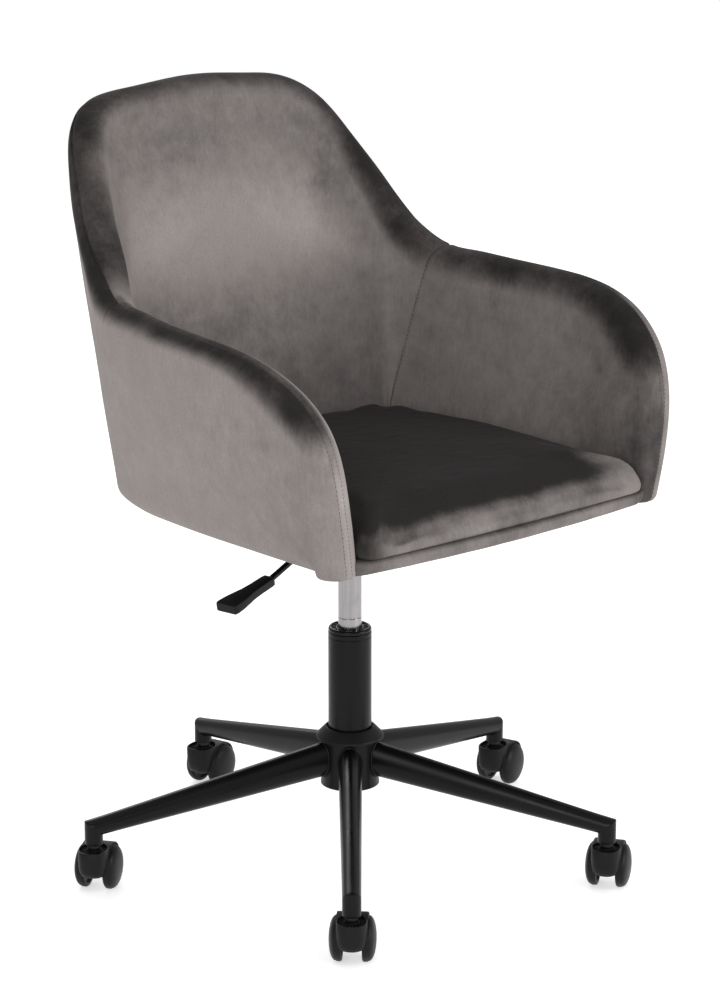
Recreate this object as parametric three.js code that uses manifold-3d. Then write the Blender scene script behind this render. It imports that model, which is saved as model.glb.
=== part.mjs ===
// An upholstered tub chair on a gas lift and a five-armed base with twin-wheel casters.
// Millimetres, +Z up, the sitter faces -Y. The floor is z = 0.
import * as THREE from 'three';
import { mergeVertices } from 'three/addons/utils/BufferGeometryUtils.js';
import Module from 'manifold-3d';

const wasm = await Module();
wasm.setup();

// ---------------------------------------------------------------- driving dimensions

const GAP = 0.3;                  // clearance between pieces that touch
const SHIFT = [-20.5, -25];       // puts the middle of the footprint on the origin

const LEG_COUNT = 5;
const FIRST_LEG = -41.35;         // degrees from straight ahead of the sitter
const STEM_CIRCLE = 300;          // column axis to caster stem
const HUB_LEG_Z = 125.5;          // leg centreline where it meets the hub
const END_LEG_Z = 76;             // leg centreline over the caster
const SOCKET_RADIUS = 10.2;
const LEG_HALF_HEIGHT = 20;       // of the oval leg tube at the hub
const LEG_HALF_WIDTH = 13.5;
const SOCKET_BOTTOM = 57;
const HUB_BOTTOM = 95;
const HUB_TOP = 149.5;
const COLLAR_TOP = 163.3;
const HUB_RADIUS = 33.7;          // at its foot
const HUB_WAIST = 31.2;
const COLLAR_RADIUS = 38.2;

const WHEEL_RADIUS = 25;
const WHEEL_INNER = 10.8;         // inner face, from the caster's middle
const WHEEL_OUTER = 25.5;
const TRAIL = 16;                 // stem axis to wheel axle
const CASTER_HEADINGS = [45, 35, 18, 16, 35];   // degrees from +X, the way each caster trails
const CUP_RADIUS = 16.6;
const CUP_TOP = 52;
const CUP_BOTTOM = 21;
const HOOD_CLEARANCE = 0.9;
const HOOD_THICKNESS = 2.2;
const HOOD_HALF_WIDTH = 17;
const AXLE_RADIUS = 3;
const STEM_RADIUS = 5.4;
const STEM_TOP = 80;

const COLUMN_RADIUS = 24.5;
const COLUMN_BOTTOM = 92;
const COLUMN_TOP = 275.5;
const COLUMN_WALL = 2;
const BUSH_TOP = 281;
const BUSH_BOTTOM = 189;
const CYLINDER_RADIUS = 13.3;
const CYLINDER_BOTTOM = 186;
const CYLINDER_TOP = 398;
const CYLINDER_BORE = 11;
const PISTON_Z = 200;             // underside of the piston head on its rod
const PISTON_ROD_RADIUS = 5;
const PIN_RADIUS = 4;
const PIN_TOP = 410.2;
const PIN_LENGTH = 30;

const CHANNEL_BOTTOM = 385;
const CHANNEL_HALF_WIDTH = 38;
const CHANNEL_HALF_LENGTH = 60;
const CHANNEL_WALL = 3;
const LIFT_SOCKET_BOTTOM = 366;
const PLATE_BOTTOM = 429.3;
const PLATE_THICKNESS = 3;
const BOLT_X = 72;
const BOLT_Y = 58;
const LEVER_HEADING = 190;        // degrees from +X
const LEVER_DROP = 19;            // degrees below level
const PADDLE_DROP = 11;
const LEVER_Z = 416;              // height of the lever's line over the column axis
const LEVER_RADIUS = 3.5;
const LEVER_REACH = 162.5;         // column axis to the rod's outer end, level
const PADDLE_START = 139;          // column axis to the paddle's near end, level

const SEAT_BOTTOM = 434;
const WALL_HALF = 22.5;           // half the thickness of the padded wall near its rim
const FOOT_HALF = 18;             // and at its foot
const RAIL_TOP = 458.7;
const BOARD_BOTTOM = 435;
const BOARD_TOP = 447;
const CUSHION_TOP = 498;

// Stations along one half of the padded wall, from the foot of the arm round to the middle of
// the back: the crest of the rounded rim, the middle of the foot, and the headings of the wall's
// outward normal at the rim and at the foot.
const ARM_STATIONS = [
  { crest: [221, -248, 434], foot: [216.5, -213], rimTurn: 0, footTurn: 0 },
  { crest: [235, -251, 519], foot: [217, -210], rimTurn: 0, footTurn: 0 },
  { crest: [245, -230, 598], foot: [217.5, -192], rimTurn: 0, footTurn: 0 },
  { crest: [257, -164, 646], foot: [218, -148], rimTurn: 0, footTurn: 0 },
  { crest: [260, -71, 661], foot: [218, -60], rimTurn: 1, footTurn: 2 },
  { crest: [251, 25, 665], foot: [214, 38], rimTurn: 4, footTurn: 7 },
  { crest: [245, 62, 667], foot: [207.5, 88], rimTurn: 6, footTurn: 16 },
  { crest: [237, 98, 670], foot: [193.5, 133], rimTurn: 10, footTurn: 37 },
];
const BACK_STATIONS = [
  ARM_STATIONS[7],
  { crest: [219, 140, 701], foot: [185.5, 142], rimTurn: 22, footTurn: 47 },
  { crest: [207, 181, 749], foot: [176.5, 149], rimTurn: 36, footTurn: 57 },
  { crest: [192, 217, 794], foot: [166, 154.5], rimTurn: 50, footTurn: 67 },
  { crest: [172, 247, 833], foot: [154, 158.5], rimTurn: 62, footTurn: 78 },
  { crest: [142, 268, 855], foot: [138, 160], rimTurn: 76, footTurn: 90 },
  { crest: [86, 272, 865], foot: [85, 160], rimTurn: 85, footTurn: 90 },
  { crest: [0, 266, 872], foot: [0, 160], rimTurn: 90, footTurn: 90 },
];

// ---------------------------------------------------------------- materials

function material(color, roughness, metalness) {
  return new THREE.MeshStandardMaterial({ color, roughness, metalness });
}

const VELVET = () => material('#7d7370', 0.85, 0);
const GLOSS_BLACK = () => material('#161617', 0.3, 0.4);
const PLASTIC = () => material('#1c1c1d', 0.6, 0);
const STEEL = () => material('#a9a8a8', 0.35, 0.9);
const NYLON = () => material('#1a1a1b', 0.5, 0);
const PLYWOOD = () => material('#b08d5e', 0.7, 0);
const LINING = () => material('#242325', 0.95, 0);

// ---------------------------------------------------------------- geometry helpers

const radians = THREE.MathUtils.degToRad;

function bare(geometry) {
  const copy = geometry.clone();
  copy.deleteAttribute('normal');
  copy.deleteAttribute('uv');
  return mergeVertices(copy, 1e-4);
}

function toManifold(geometry) {
  const merged = bare(geometry);
  const mesh = new wasm.Mesh({
    numProp: 3,
    vertProperties: new Float32Array(merged.attributes.position.array),
    triVerts: new Uint32Array(merged.index.array),
  });
  return new wasm.Manifold(mesh);
}

function toGeometry(manifold) {
  const mesh = manifold.getMesh();
  const geometry = new THREE.BufferGeometry();
  geometry.setAttribute('position', new THREE.BufferAttribute(mesh.vertProperties, 3));
  geometry.setIndex(new THREE.BufferAttribute(mesh.triVerts, 1));
  return geometry;
}

function join(first, ...others) {
  const whole = others.reduce((sum, other) => sum.add(toManifold(other)), toManifold(first));
  return toGeometry(whole);
}

function cut(first, ...others) {
  const rest = others.reduce((left, other) => left.subtract(toManifold(other)), toManifold(first));
  return toGeometry(rest);
}

// A body of revolution about Z. The profile is a list of [radius, z] that runs anticlockwise
// in the half plane, closed on itself unless both of its ends lie on the axis.
function turned(profile, segments = 24) {
  const points = profile.map(([r, z]) => new THREE.Vector2(r, z));
  const endsOnAxis = profile[0][0] === 0 && profile[profile.length - 1][0] === 0;
  if (!endsOnAxis) {
    points.push(points[0].clone());
  }
  return new THREE.LatheGeometry(points, segments).rotateX(Math.PI / 2);
}

function rod(radius, bottom, top, segments = 16) {
  return turned([[0, bottom], [radius, bottom], [radius, top], [0, top]], segments);
}

function ring(inner, outer, bottom, top, segments = 24) {
  return turned([[inner, bottom], [outer, bottom], [outer, top], [inner, top]], segments);
}

// A flat outline with rounded corners, from a list of [x, y, corner radius].
function roundedOutline(corners) {
  const shape = new THREE.Shape();
  const count = corners.length;
  corners.forEach(([x, y, radius], index) => {
    const here = new THREE.Vector2(x, y);
    const before = new THREE.Vector2(...corners[(index + count - 1) % count]);
    const after = new THREE.Vector2(...corners[(index + 1) % count]);
    const start = before.sub(here).setLength(radius).add(here);
    const end = after.sub(here).setLength(radius).add(here);
    if (index === 0) {
      shape.moveTo(start.x, start.y);
    } else {
      shape.lineTo(start.x, start.y);
    }
    shape.quadraticCurveTo(x, y, end.x, end.y);
  });
  shape.closePath();
  return shape;
}

function mirroredOutline(rightHalf) {
  const leftHalf = rightHalf.map(([x, y, radius]) => [-x, y, radius]).reverse();
  return roundedOutline([...rightHalf, ...leftHalf]);
}

function slab(outline, bottom, top, curveSegments = 4) {
  const settings = { depth: top - bottom, bevelEnabled: false, curveSegments };
  return new THREE.ExtrudeGeometry(outline, settings).translate(0, 0, bottom);
}

function box(low, high) {
  const size = high.map((value, axis) => value - low[axis]);
  const middle = high.map((value, axis) => (value + low[axis]) / 2);
  return new THREE.BoxGeometry(...size).translate(...middle);
}

// A closed skin through a row of rings, each with the same number of points.
function loft(rings) {
  const count = rings[0].length;
  const positions = rings.flat().flatMap((point) => point.toArray());
  const index = [];
  for (let row = 0; row + 1 < rings.length; row += 1) {
    for (let col = 0; col < count; col += 1) {
      const a = row * count + col;
      const b = row * count + ((col + 1) % count);
      index.push(a, b, a + count, b, b + count, a + count);
    }
  }
  [0, rings.length - 1].forEach((row) => {
    const centre = positions.length / 3;
    const middle = rings[row].reduce((sum, point) => sum.add(point), new THREE.Vector3());
    positions.push(...middle.divideScalar(count).toArray());
    for (let col = 0; col < count; col += 1) {
      const a = row * count + col;
      const b = row * count + ((col + 1) % count);
      index.push(...(row === 0 ? [centre, b, a] : [centre, a, b]));
    }
  });
  const geometry = new THREE.BufferGeometry();
  geometry.setAttribute('position', new THREE.Float32BufferAttribute(positions, 3));
  geometry.setIndex(index);
  return geometry;
}

function signedVolume(geometry) {
  const position = geometry.attributes.position;
  const corner = (n) => new THREE.Vector3().fromBufferAttribute(position, geometry.index.array[n]);
  let sum = 0;
  for (let n = 0; n < geometry.index.count; n += 3) {
    sum += corner(n).dot(corner(n + 1).cross(corner(n + 2)));
  }
  return sum / 6;
}

function outward(geometry) {
  const merged = bare(geometry);
  if (signedVolume(merged) < 0) {
    const flipped = Array.from(merged.index.array).reverse();
    merged.setIndex(flipped);
  }
  return merged;
}

function piece(parent, name, geometry, look) {
  const mesh = new THREE.Mesh(outward(geometry), look());
  mesh.name = name;
  parent.add(mesh);
  return mesh;
}

function mirrored(geometry) {
  const copy = bare(geometry).scale(-1, 1, 1);
  copy.setIndex(Array.from(copy.index.array).reverse());
  return copy;
}

// ---------------------------------------------------------------- base

const chair = new THREE.Group();
chair.position.set(SHIFT[0], SHIFT[1], 0);

function hubProfile(extra) {
  return [
    [COLUMN_RADIUS + GAP, HUB_BOTTOM],
    [HUB_RADIUS + extra, HUB_BOTTOM],
    [HUB_WAIST + extra, HUB_TOP - 8],
    [HUB_WAIST + extra, HUB_TOP],
    [COLUMN_RADIUS + GAP, HUB_TOP],
  ];
}

function collarGeometry() {
  const inner = COLUMN_RADIUS + GAP;
  const bottom = HUB_TOP + GAP;
  return turned([
    [inner, bottom], [COLLAR_RADIUS, bottom], [COLLAR_RADIUS, bottom + 2],
    [27.5, COLLAR_TOP], [inner, COLLAR_TOP],
  ], 24);
}

// The leg and its socket meet in a mitre at the elbow, in the plane y = 0 of the leg's group,
// where +X points away from the column.
const legRise = Math.atan2(HUB_LEG_Z - END_LEG_Z, STEM_CIRCLE - HUB_RADIUS);

function mitreBlock(side) {
  const size = 80;
  const block = new THREE.BoxGeometry(size, size, size).translate(side * (size / 2 - GAP / 2), 0, 0);
  const turnDown = (Math.PI / 2 + legRise) / 2;
  return block.rotateY(turnDown).translate(STEM_CIRCLE, 0, END_LEG_Z);
}

function stemBore() {
  return rod(STEM_RADIUS + 0.5, SOCKET_BOTTOM - 1, STEM_TOP + 1, 8).translate(STEM_CIRCLE, 0, 0);
}

function legGeometry() {
  const start = HUB_RADIUS - 8;
  const end = STEM_CIRCLE + 16;
  const length = (end - start) / Math.cos(legRise);
  const tube = new THREE.CylinderGeometry(1, 1, length, 12, 4);
  const position = tube.attributes.position;
  for (let n = 0; n < position.count; n += 1) {
    const along = THREE.MathUtils.clamp(position.getY(n) / length + 0.5, 0, 1);
    const taper = Math.min(1, along * 1.04);
    position.setX(n, position.getX(n) * THREE.MathUtils.lerp(LEG_HALF_WIDTH, SOCKET_RADIUS, taper));
    position.setZ(n, position.getZ(n) * THREE.MathUtils.lerp(LEG_HALF_HEIGHT, SOCKET_RADIUS, taper));
  }
  const middleX = (start + end) / 2;
  const middleZ = END_LEG_Z + (STEM_CIRCLE - middleX) * Math.tan(legRise);
  tube.rotateZ(-Math.PI / 2).rotateY(legRise).translate(middleX, 0, middleZ);
  const clearance = GAP + 0.4;
  const hubRoom = turned(hubProfile(clearance), 24);
  const coreRoom = rod(HUB_WAIST + clearance, HUB_BOTTOM - 10, HUB_TOP + 20, 24);
  return cut(tube, hubRoom, coreRoom, mitreBlock(1), stemBore());
}

function socketGeometry() {
  const pipe = rod(SOCKET_RADIUS, SOCKET_BOTTOM, END_LEG_Z + 30, 12).translate(STEM_CIRCLE, 0, 0);
  return cut(pipe, mitreBlock(-1), stemBore());
}

piece(chair, 'base_hub', turned(hubProfile(0), 24), GLOSS_BLACK);
piece(chair, 'hub_collar', collarGeometry(), PLASTIC);

// ---------------------------------------------------------------- casters

// In a caster's own frame the stem is the Z axis, the wheels trail towards +X and the axle
// lies along Y.

function alongY(geometry) {
  return geometry.rotateX(-Math.PI / 2).translate(TRAIL, 0, WHEEL_RADIUS);
}

function wheelGeometry(side) {
  const facets = 20;
  const flat = 1 / Math.cos(Math.PI / facets);
  const tread = WHEEL_RADIUS * flat;
  const wheel = turned([
    [0, 21], [AXLE_RADIUS + GAP, 21], [AXLE_RADIUS + GAP, WHEEL_INNER], [tread, WHEEL_INNER],
    [tread, 16.5], [22.5 * flat, 21.3], [13, 24.8], [0, WHEEL_OUTER],
  ], facets);
  wheel.rotateZ(Math.PI / facets);
  if (side < 0) {
    wheel.rotateX(Math.PI);
  }
  return alongY(wheel);
}

function housingGeometry() {
  const hoodInner = WHEEL_RADIUS + HOOD_CLEARANCE;
  const hoodOuter = hoodInner + HOOD_THICKNESS;
  const cup = rod(CUP_RADIUS, CUP_BOTTOM, CUP_TOP, 16);
  const webHalf = WHEEL_INNER - 0.8;
  const web = box([-2, -webHalf, CUP_BOTTOM], [TRAIL + 9, webHalf, CUP_TOP - 0.7]);
  const arch = new THREE.Shape();
  arch.absarc(0, 0, hoodOuter, radians(25), radians(150), false);
  arch.absarc(0, 0, hoodInner, radians(150), radians(25), true);
  const hood = new THREE.ExtrudeGeometry(arch, {
    depth: 2 * HOOD_HALF_WIDTH, bevelEnabled: false, curveSegments: 6,
  });
  hood.translate(0, 0, -HOOD_HALF_WIDTH).rotateX(Math.PI / 2).translate(TRAIL, 0, WHEEL_RADIUS);
  const wheelRoom = [1, -1].map((side) => {
    const disc = turned([
      [0, WHEEL_INNER - 0.5], [hoodInner, WHEEL_INNER - 0.5], [hoodInner, 40], [0, 40],
    ], 18);
    return alongY(side > 0 ? disc : disc.rotateX(Math.PI));
  });
  const dish = ring(8.5, CUP_RADIUS - 1.6, CUP_TOP - 4, CUP_TOP + 8, 12);
  const pivotBore = rod(STEM_RADIUS + 0.5, CUP_BOTTOM + 10, CUP_TOP + 10, 8);
  const axleBore = alongY(rod(AXLE_RADIUS + 0.4, -30, 30, 8));
  return cut(join(cup, web, hood), ...wheelRoom, dish, pivotBore, axleBore);
}

function stemGeometry() {
  const bottom = CUP_BOTTOM + 10 + GAP;
  return turned([
    [0, bottom], [STEM_RADIUS, bottom], [STEM_RADIUS, CUP_TOP + GAP],
    [7.6, CUP_TOP + GAP], [7.6, SOCKET_BOTTOM - GAP],
    [STEM_RADIUS, SOCKET_BOTTOM - GAP], [STEM_RADIUS, STEM_TOP], [0, STEM_TOP],
  ], 10);
}

for (let leg = 1; leg <= LEG_COUNT; leg += 1) {
  const heading = FIRST_LEG + (leg - 1) * (360 / LEG_COUNT) - 90;
  const spoke = new THREE.Group();
  spoke.rotation.z = radians(heading);
  chair.add(spoke);
  piece(spoke, `leg_${leg}`, legGeometry(), GLOSS_BLACK);
  piece(spoke, `socket_${leg}`, socketGeometry(), GLOSS_BLACK);

  const caster = new THREE.Group();
  caster.position.x = STEM_CIRCLE * Math.cos(radians(heading));
  caster.position.y = STEM_CIRCLE * Math.sin(radians(heading));
  caster.rotation.z = radians(CASTER_HEADINGS[leg - 1]);
  chair.add(caster);
  piece(caster, `caster_stem_${leg}`, stemGeometry(), STEEL);
  piece(caster, `caster_housing_${leg}`, housingGeometry(), PLASTIC);
  piece(caster, `caster_axle_${leg}`, alongY(rod(AXLE_RADIUS, -20.7, 20.7, 10)), STEEL);
  piece(caster, `wheel_${leg}_left`, wheelGeometry(1), NYLON);
  piece(caster, `wheel_${leg}_right`, wheelGeometry(-1), NYLON);
}

// ---------------------------------------------------------------- gas lift

const tubeBore = COLUMN_RADIUS - COLUMN_WALL;
const tubeFloor = COLUMN_BOTTOM + 3;
const floorHole = 6;
piece(chair, 'column_tube', turned([
  [floorHole, COLUMN_BOTTOM], [COLUMN_RADIUS, COLUMN_BOTTOM], [COLUMN_RADIUS, COLUMN_TOP],
  [tubeBore, COLUMN_TOP], [tubeBore, tubeFloor], [floorHole, tubeFloor],
], 24), GLOSS_BLACK);

const bushBore = CYLINDER_RADIUS + GAP;
const flangeRadius = COLUMN_RADIUS - 0.1;
piece(chair, 'guide_bush', turned([
  [bushBore, BUSH_BOTTOM], [tubeBore - GAP, BUSH_BOTTOM], [tubeBore - GAP, COLUMN_TOP + GAP],
  [flangeRadius, COLUMN_TOP + GAP], [flangeRadius, BUSH_TOP - 2], [flangeRadius - 1.7, BUSH_TOP],
  [bushBore + 1.8, BUSH_TOP], [bushBore, BUSH_TOP - 1.6],
], 24), PLASTIC);

const rodHole = PISTON_ROD_RADIUS + GAP;
piece(chair, 'thrust_bearing', ring(rodHole, 12, tubeFloor + GAP, tubeFloor + 8, 16), STEEL);
piece(chair, 'piston_clip', ring(rodHole, 9, COLUMN_BOTTOM - 3, COLUMN_BOTTOM - GAP, 16), STEEL);

const headRadius = CYLINDER_BORE - GAP;
piece(chair, 'piston_rod', turned([
  [0, COLUMN_BOTTOM - 5], [PISTON_ROD_RADIUS, COLUMN_BOTTOM - 5], [PISTON_ROD_RADIUS, PISTON_Z],
  [headRadius, PISTON_Z], [headRadius, PISTON_Z + 8], [0, PISTON_Z + 8],
], 16), STEEL);

// The cylinder stands upside down: its rod points down and its closed end tapers into the seat.
const endWall = 10;
const pinHole = PIN_RADIUS + GAP;
piece(chair, 'gas_cylinder', turned([
  [rodHole, CYLINDER_BOTTOM], [CYLINDER_RADIUS, CYLINDER_BOTTOM],
  [CYLINDER_RADIUS, CYLINDER_TOP - 39], [12.6, CYLINDER_TOP],
  [pinHole, CYLINDER_TOP], [pinHole, CYLINDER_TOP - endWall],
  [CYLINDER_BORE, CYLINDER_TOP - endWall], [CYLINDER_BORE, CYLINDER_BOTTOM + endWall],
  [rodHole, CYLINDER_BOTTOM + endWall],
], 20), STEEL);

piece(chair, 'release_pin', rod(PIN_RADIUS, PIN_TOP - PIN_LENGTH, PIN_TOP, 12), STEEL);

// ---------------------------------------------------------------- seat mechanism

function channelGeometry() {
  const top = PLATE_BOTTOM - GAP;
  const wide = CHANNEL_HALF_WIDTH;
  const long = CHANNEL_HALF_LENGTH;
  const roomHalf = wide - CHANNEL_WALL;
  const floor = CHANNEL_BOTTOM + CHANNEL_WALL;
  const outside = box([-wide, -long, CHANNEL_BOTTOM], [wide, long, top]);
  const inside = box([-roomHalf, -long - 10, floor], [roomHalf, long + 10, top + 5]);
  const socket = rod(18, LIFT_SOCKET_BOTTOM, LIFT_SOCKET_BOTTOM + 30, 20);
  const taper = turned([
    [0, LIFT_SOCKET_BOTTOM - 22], [13.85, LIFT_SOCKET_BOTTOM - 22],
    [12.95, CYLINDER_TOP], [0, CYLINDER_TOP],
  ], 20);
  const leverSlot = box([-45, -11.5, 395.5], [-30, -1.5, 410.5]);
  return cut(join(cut(outside, inside), socket), taper, leverSlot);
}

const boltPlaces = [[1, 1], [1, -1], [-1, -1], [-1, 1]].map(([sx, sy]) => [sx * BOLT_X, sy * BOLT_Y]);

function boltHoles() {
  return boltPlaces.map(([x, y]) => rod(3.3, PLATE_BOTTOM - 10, BOARD_TOP + 10, 12).translate(x, y, 0));
}

function boltGeometry() {
  const headTop = PLATE_BOTTOM - GAP;
  return turned([
    [0, headTop - 4], [5.5, headTop - 4], [5.5, headTop],
    [3, headTop], [3, BOARD_TOP - 2], [0, BOARD_TOP - 2],
  ], 12);
}

const plateTop = PLATE_BOTTOM + PLATE_THICKNESS;
const plate = slab(mirroredOutline([[90, -75, 10], [90, 75, 10]]), PLATE_BOTTOM, plateTop);
piece(chair, 'mechanism_channel', channelGeometry(), GLOSS_BLACK);
piece(chair, 'mount_plate', cut(plate, ...boltHoles()), GLOSS_BLACK);
boltPlaces.forEach(([x, y], index) => {
  const bolt = piece(chair, `bolt_${index + 1}`, boltGeometry(), STEEL);
  bolt.position.set(x, y, 0);
});

// In the lever's group +X runs out along the lever and z = 0 is its line over the column axis.
const lever = new THREE.Group();
lever.position.z = LEVER_Z;
lever.rotation.z = radians(LEVER_HEADING);
chair.add(lever);

function leverRodGeometry(radius, start, end, segments) {
  const drop = radians(LEVER_DROP);
  const scale = 1 / Math.cos(drop);
  return rod(radius, start * scale, end * scale, segments).rotateY(Math.PI / 2 + drop);
}

function paddleGeometry() {
  const outline = roundedOutline([
    [0, -7.5, 3], [30, -8.5, 6], [52, -12.5, 8], [76, -14, 5],
    [76, 14, 5], [52, 12.5, 8], [30, 8.5, 6], [0, 7.5, 3],
  ]);
  const body = slab(outline, -5.5, 5.5, 3);
  const height = -PADDLE_START * Math.tan(radians(LEVER_DROP));
  body.rotateY(radians(PADDLE_DROP)).translate(PADDLE_START, 0, height);
  return cut(body, leverRodGeometry(LEVER_RADIUS + GAP, PADDLE_START - 19, LEVER_REACH + 0.5, 12));
}

piece(lever, 'lever_rod', leverRodGeometry(LEVER_RADIUS, -8, LEVER_REACH, 12), GLOSS_BLACK);
piece(lever, 'lever_paddle', paddleGeometry(), PLASTIC);

// ---------------------------------------------------------------- seat

const boardOutline = mirroredOutline([[186, -211, 6], [186, 112, 30]]);
const board = slab(boardOutline, BOARD_BOTTOM, BOARD_TOP);
piece(chair, 'seat_board', cut(board, ...boltHoles()), PLYWOOD);

const coverOutline = mirroredOutline([[222, -246, 12], [222, 95, 24], [205, 162, 38]]);
const cover = slab(coverOutline, plateTop + GAP, SEAT_BOTTOM - GAP);
piece(chair, 'dust_cover', cut(cover, ...boltHoles()), LINING);

const railOutline = mirroredOutline([[197.8, -259, 4], [197.8, -214, 4]]);
piece(chair, 'front_rail', slab(railOutline, SEAT_BOTTOM, RAIL_TOP), VELVET);

function cushionGeometry() {
  const shoulder = mirroredOutline([[196, -262, 24], [196, -20, 30], [188, 70, 30], [176, 140, 40]]);
  const crown = mirroredOutline([[184, -250, 26], [184, -20, 30], [176, 66, 28], [160, 128, 34]]);
  const footprint = mirroredOutline([[184, -212, 6], [184, 110, 30]]);
  const lower = slab(shoulder, RAIL_TOP + GAP, CUSHION_TOP - 14);
  const upper = slab(crown, CUSHION_TOP - 20, CUSHION_TOP);
  const plug = slab(footprint, BOARD_TOP + GAP, RAIL_TOP + 5);
  return join(lower, upper, plug);
}
piece(chair, 'seat_cushion', cushionGeometry(), VELVET);

// ---------------------------------------------------------------- padded wall: arms and back

function through(points) {
  return new THREE.CatmullRomCurve3(points.map((point) => new THREE.Vector3(...point)));
}

function wallCurves(stations) {
  return {
    crest: through(stations.map((station) => station.crest)),
    foot: through(stations.map((station) => [...station.foot, SEAT_BOTTOM])),
    turns: through(stations.map((station) => [station.rimTurn, station.footTurn, 0])),
  };
}

function headingVector(degrees) {
  return new THREE.Vector3(Math.cos(radians(degrees)), Math.sin(radians(degrees)), 0);
}

// One cross-section of the wall: inner foot, outer foot, then over the rounded rim.
function wallRing(curves, at, tangent, slide) {
  const crest = curves.crest.getPoint(at).addScaledVector(tangent, slide);
  const foot = curves.foot.getPoint(at).addScaledVector(tangent.clone().setZ(0), slide);
  const turns = curves.turns.getPoint(at);
  const out = headingVector(turns.x);
  const footOut = headingVector(turns.y);
  const over = tangent.clone().cross(out).normalize();
  if (over.dot(crest.clone().sub(foot)) < 0) {
    over.negate();
  }
  const core = crest.clone().addScaledVector(over, -WALL_HALF);
  const points = [
    foot.clone().addScaledVector(footOut, -FOOT_HALF),
    foot.clone().addScaledVector(footOut, FOOT_HALF),
  ];
  for (let step = 0; step <= 6; step += 1) {
    const angle = (step / 6) * Math.PI;
    points.push(core.clone()
      .addScaledVector(out, WALL_HALF * Math.cos(angle))
      .addScaledVector(over, WALL_HALF * Math.sin(angle)));
  }
  return points;
}

// The arm and the back share one section where they meet.
const armCurves = wallCurves(ARM_STATIONS);
const backHalf = wallCurves(BACK_STATIONS);
const seamTangent = armCurves.crest.getTangent(1).add(backHalf.crest.getTangent(0)).normalize();

function armGeometry() {
  const steps = 14;
  const rings = [];
  for (let step = 0; step <= steps; step += 1) {
    const at = step / steps;
    if (step === 0) {
      rings.push(wallRing(armCurves, at, new THREE.Vector3(0, 0, 1), 0));
    } else if (step === steps) {
      rings.push(wallRing(armCurves, at, seamTangent, -GAP / 2));
    } else {
      rings.push(wallRing(armCurves, at, armCurves.crest.getTangent(at), 0));
    }
  }
  return loft(rings);
}

function backGeometry() {
  const steps = 14;
  const half = [wallRing(backHalf, 0, seamTangent, GAP / 2)];
  for (let step = 1; step < steps; step += 1) {
    half.push(wallRing(backHalf, step / steps, backHalf.crest.getTangent(step / steps), 0));
  }
  const middle = wallRing(backHalf, 1, new THREE.Vector3(-1, 0, 0), 0);
  const other = half.map((points) => points.map((point) => point.clone().setX(-point.x))).reverse();
  return loft([...half, middle, ...other]);
}

piece(chair, 'arm_left', armGeometry(), VELVET);
piece(chair, 'arm_right', mirrored(armGeometry()), VELVET);
piece(chair, 'back_rest', backGeometry(), VELVET);

export default chair;
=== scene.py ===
"""Looks of an upholstered tub chair on a swivel base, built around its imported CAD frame.

Shapes are worked out in millimetres in the chair's own frame, with the column axis at x = y = 0,
and turned into metres in the row frame when a mesh is made.
"""

import math

import bmesh
import bpy
import numpy as np
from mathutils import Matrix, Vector, noise


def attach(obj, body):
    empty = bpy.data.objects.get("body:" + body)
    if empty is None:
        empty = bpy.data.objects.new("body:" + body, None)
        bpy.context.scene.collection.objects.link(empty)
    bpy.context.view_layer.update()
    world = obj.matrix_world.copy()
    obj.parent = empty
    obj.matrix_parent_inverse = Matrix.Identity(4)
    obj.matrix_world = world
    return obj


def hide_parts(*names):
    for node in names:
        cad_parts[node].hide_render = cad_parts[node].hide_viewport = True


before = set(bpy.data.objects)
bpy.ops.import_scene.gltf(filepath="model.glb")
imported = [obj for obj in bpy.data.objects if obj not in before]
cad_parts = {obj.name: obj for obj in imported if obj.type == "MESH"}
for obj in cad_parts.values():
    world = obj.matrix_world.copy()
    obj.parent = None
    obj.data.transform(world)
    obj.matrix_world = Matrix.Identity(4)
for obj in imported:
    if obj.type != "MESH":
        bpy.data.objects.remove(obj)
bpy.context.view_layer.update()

# ---------- driving dimensions, in mm

MM_PER_M = 1000
SHIFT = np.array([-20.5, -25.0, 0.0])     # chair frame to row frame
FLOOR_OF_SEAT = 434.0                     # underside of the padded shell
WALL_HALF = 22.5
FOOT_HALF = 18.0
LOWER_ROUND = 17.0                        # radius of the shell's outer lower edge
RAIL_TOP = 458.7
CUSHION_TOP = 498.0

FIRST_LEG = -41.35
STEM_CIRCLE = 300.0
HUB_LEG_Z = 125.5
END_LEG_Z = 76.0
SOCKET_RADIUS = 10.2
SOCKET_BOTTOM = 57.0
LEG_HALF_HEIGHT = 20.0
LEG_HALF_WIDTH = 13.5
HUB_RADIUS = 33.7
HUB_WAIST = 31.2
HUB_BOTTOM = 95.0
HUB_TOP = 149.5
COLLAR_TOP = 163.3
COLUMN_RADIUS = 24.5
COLUMN_TOP = 275.5
BUSH_TOP = 281.0
CYLINDER_RADIUS = 13.3
BUSH_RIBS = 20
CUP_RIBS = 20

CASTER_HEADINGS = [45, 35, 18, 16, 35]
TRAIL = 16.0
WHEEL_RADIUS = 25.0
WHEEL_INNER = 10.8
CUP_RADIUS = 16.6
CUP_TOP = 52.0
CUP_BOTTOM = 21.0
CUP_NOSE = 18.0                           # lowest point of the cup's rounded front

LEVER_HEADING = 190
LEVER_DROP = 19
PADDLE_DROP = 11
LEVER_Z = 416.0
LEVER_RADIUS = 3.5
PADDLE_START = 139.0

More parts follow.
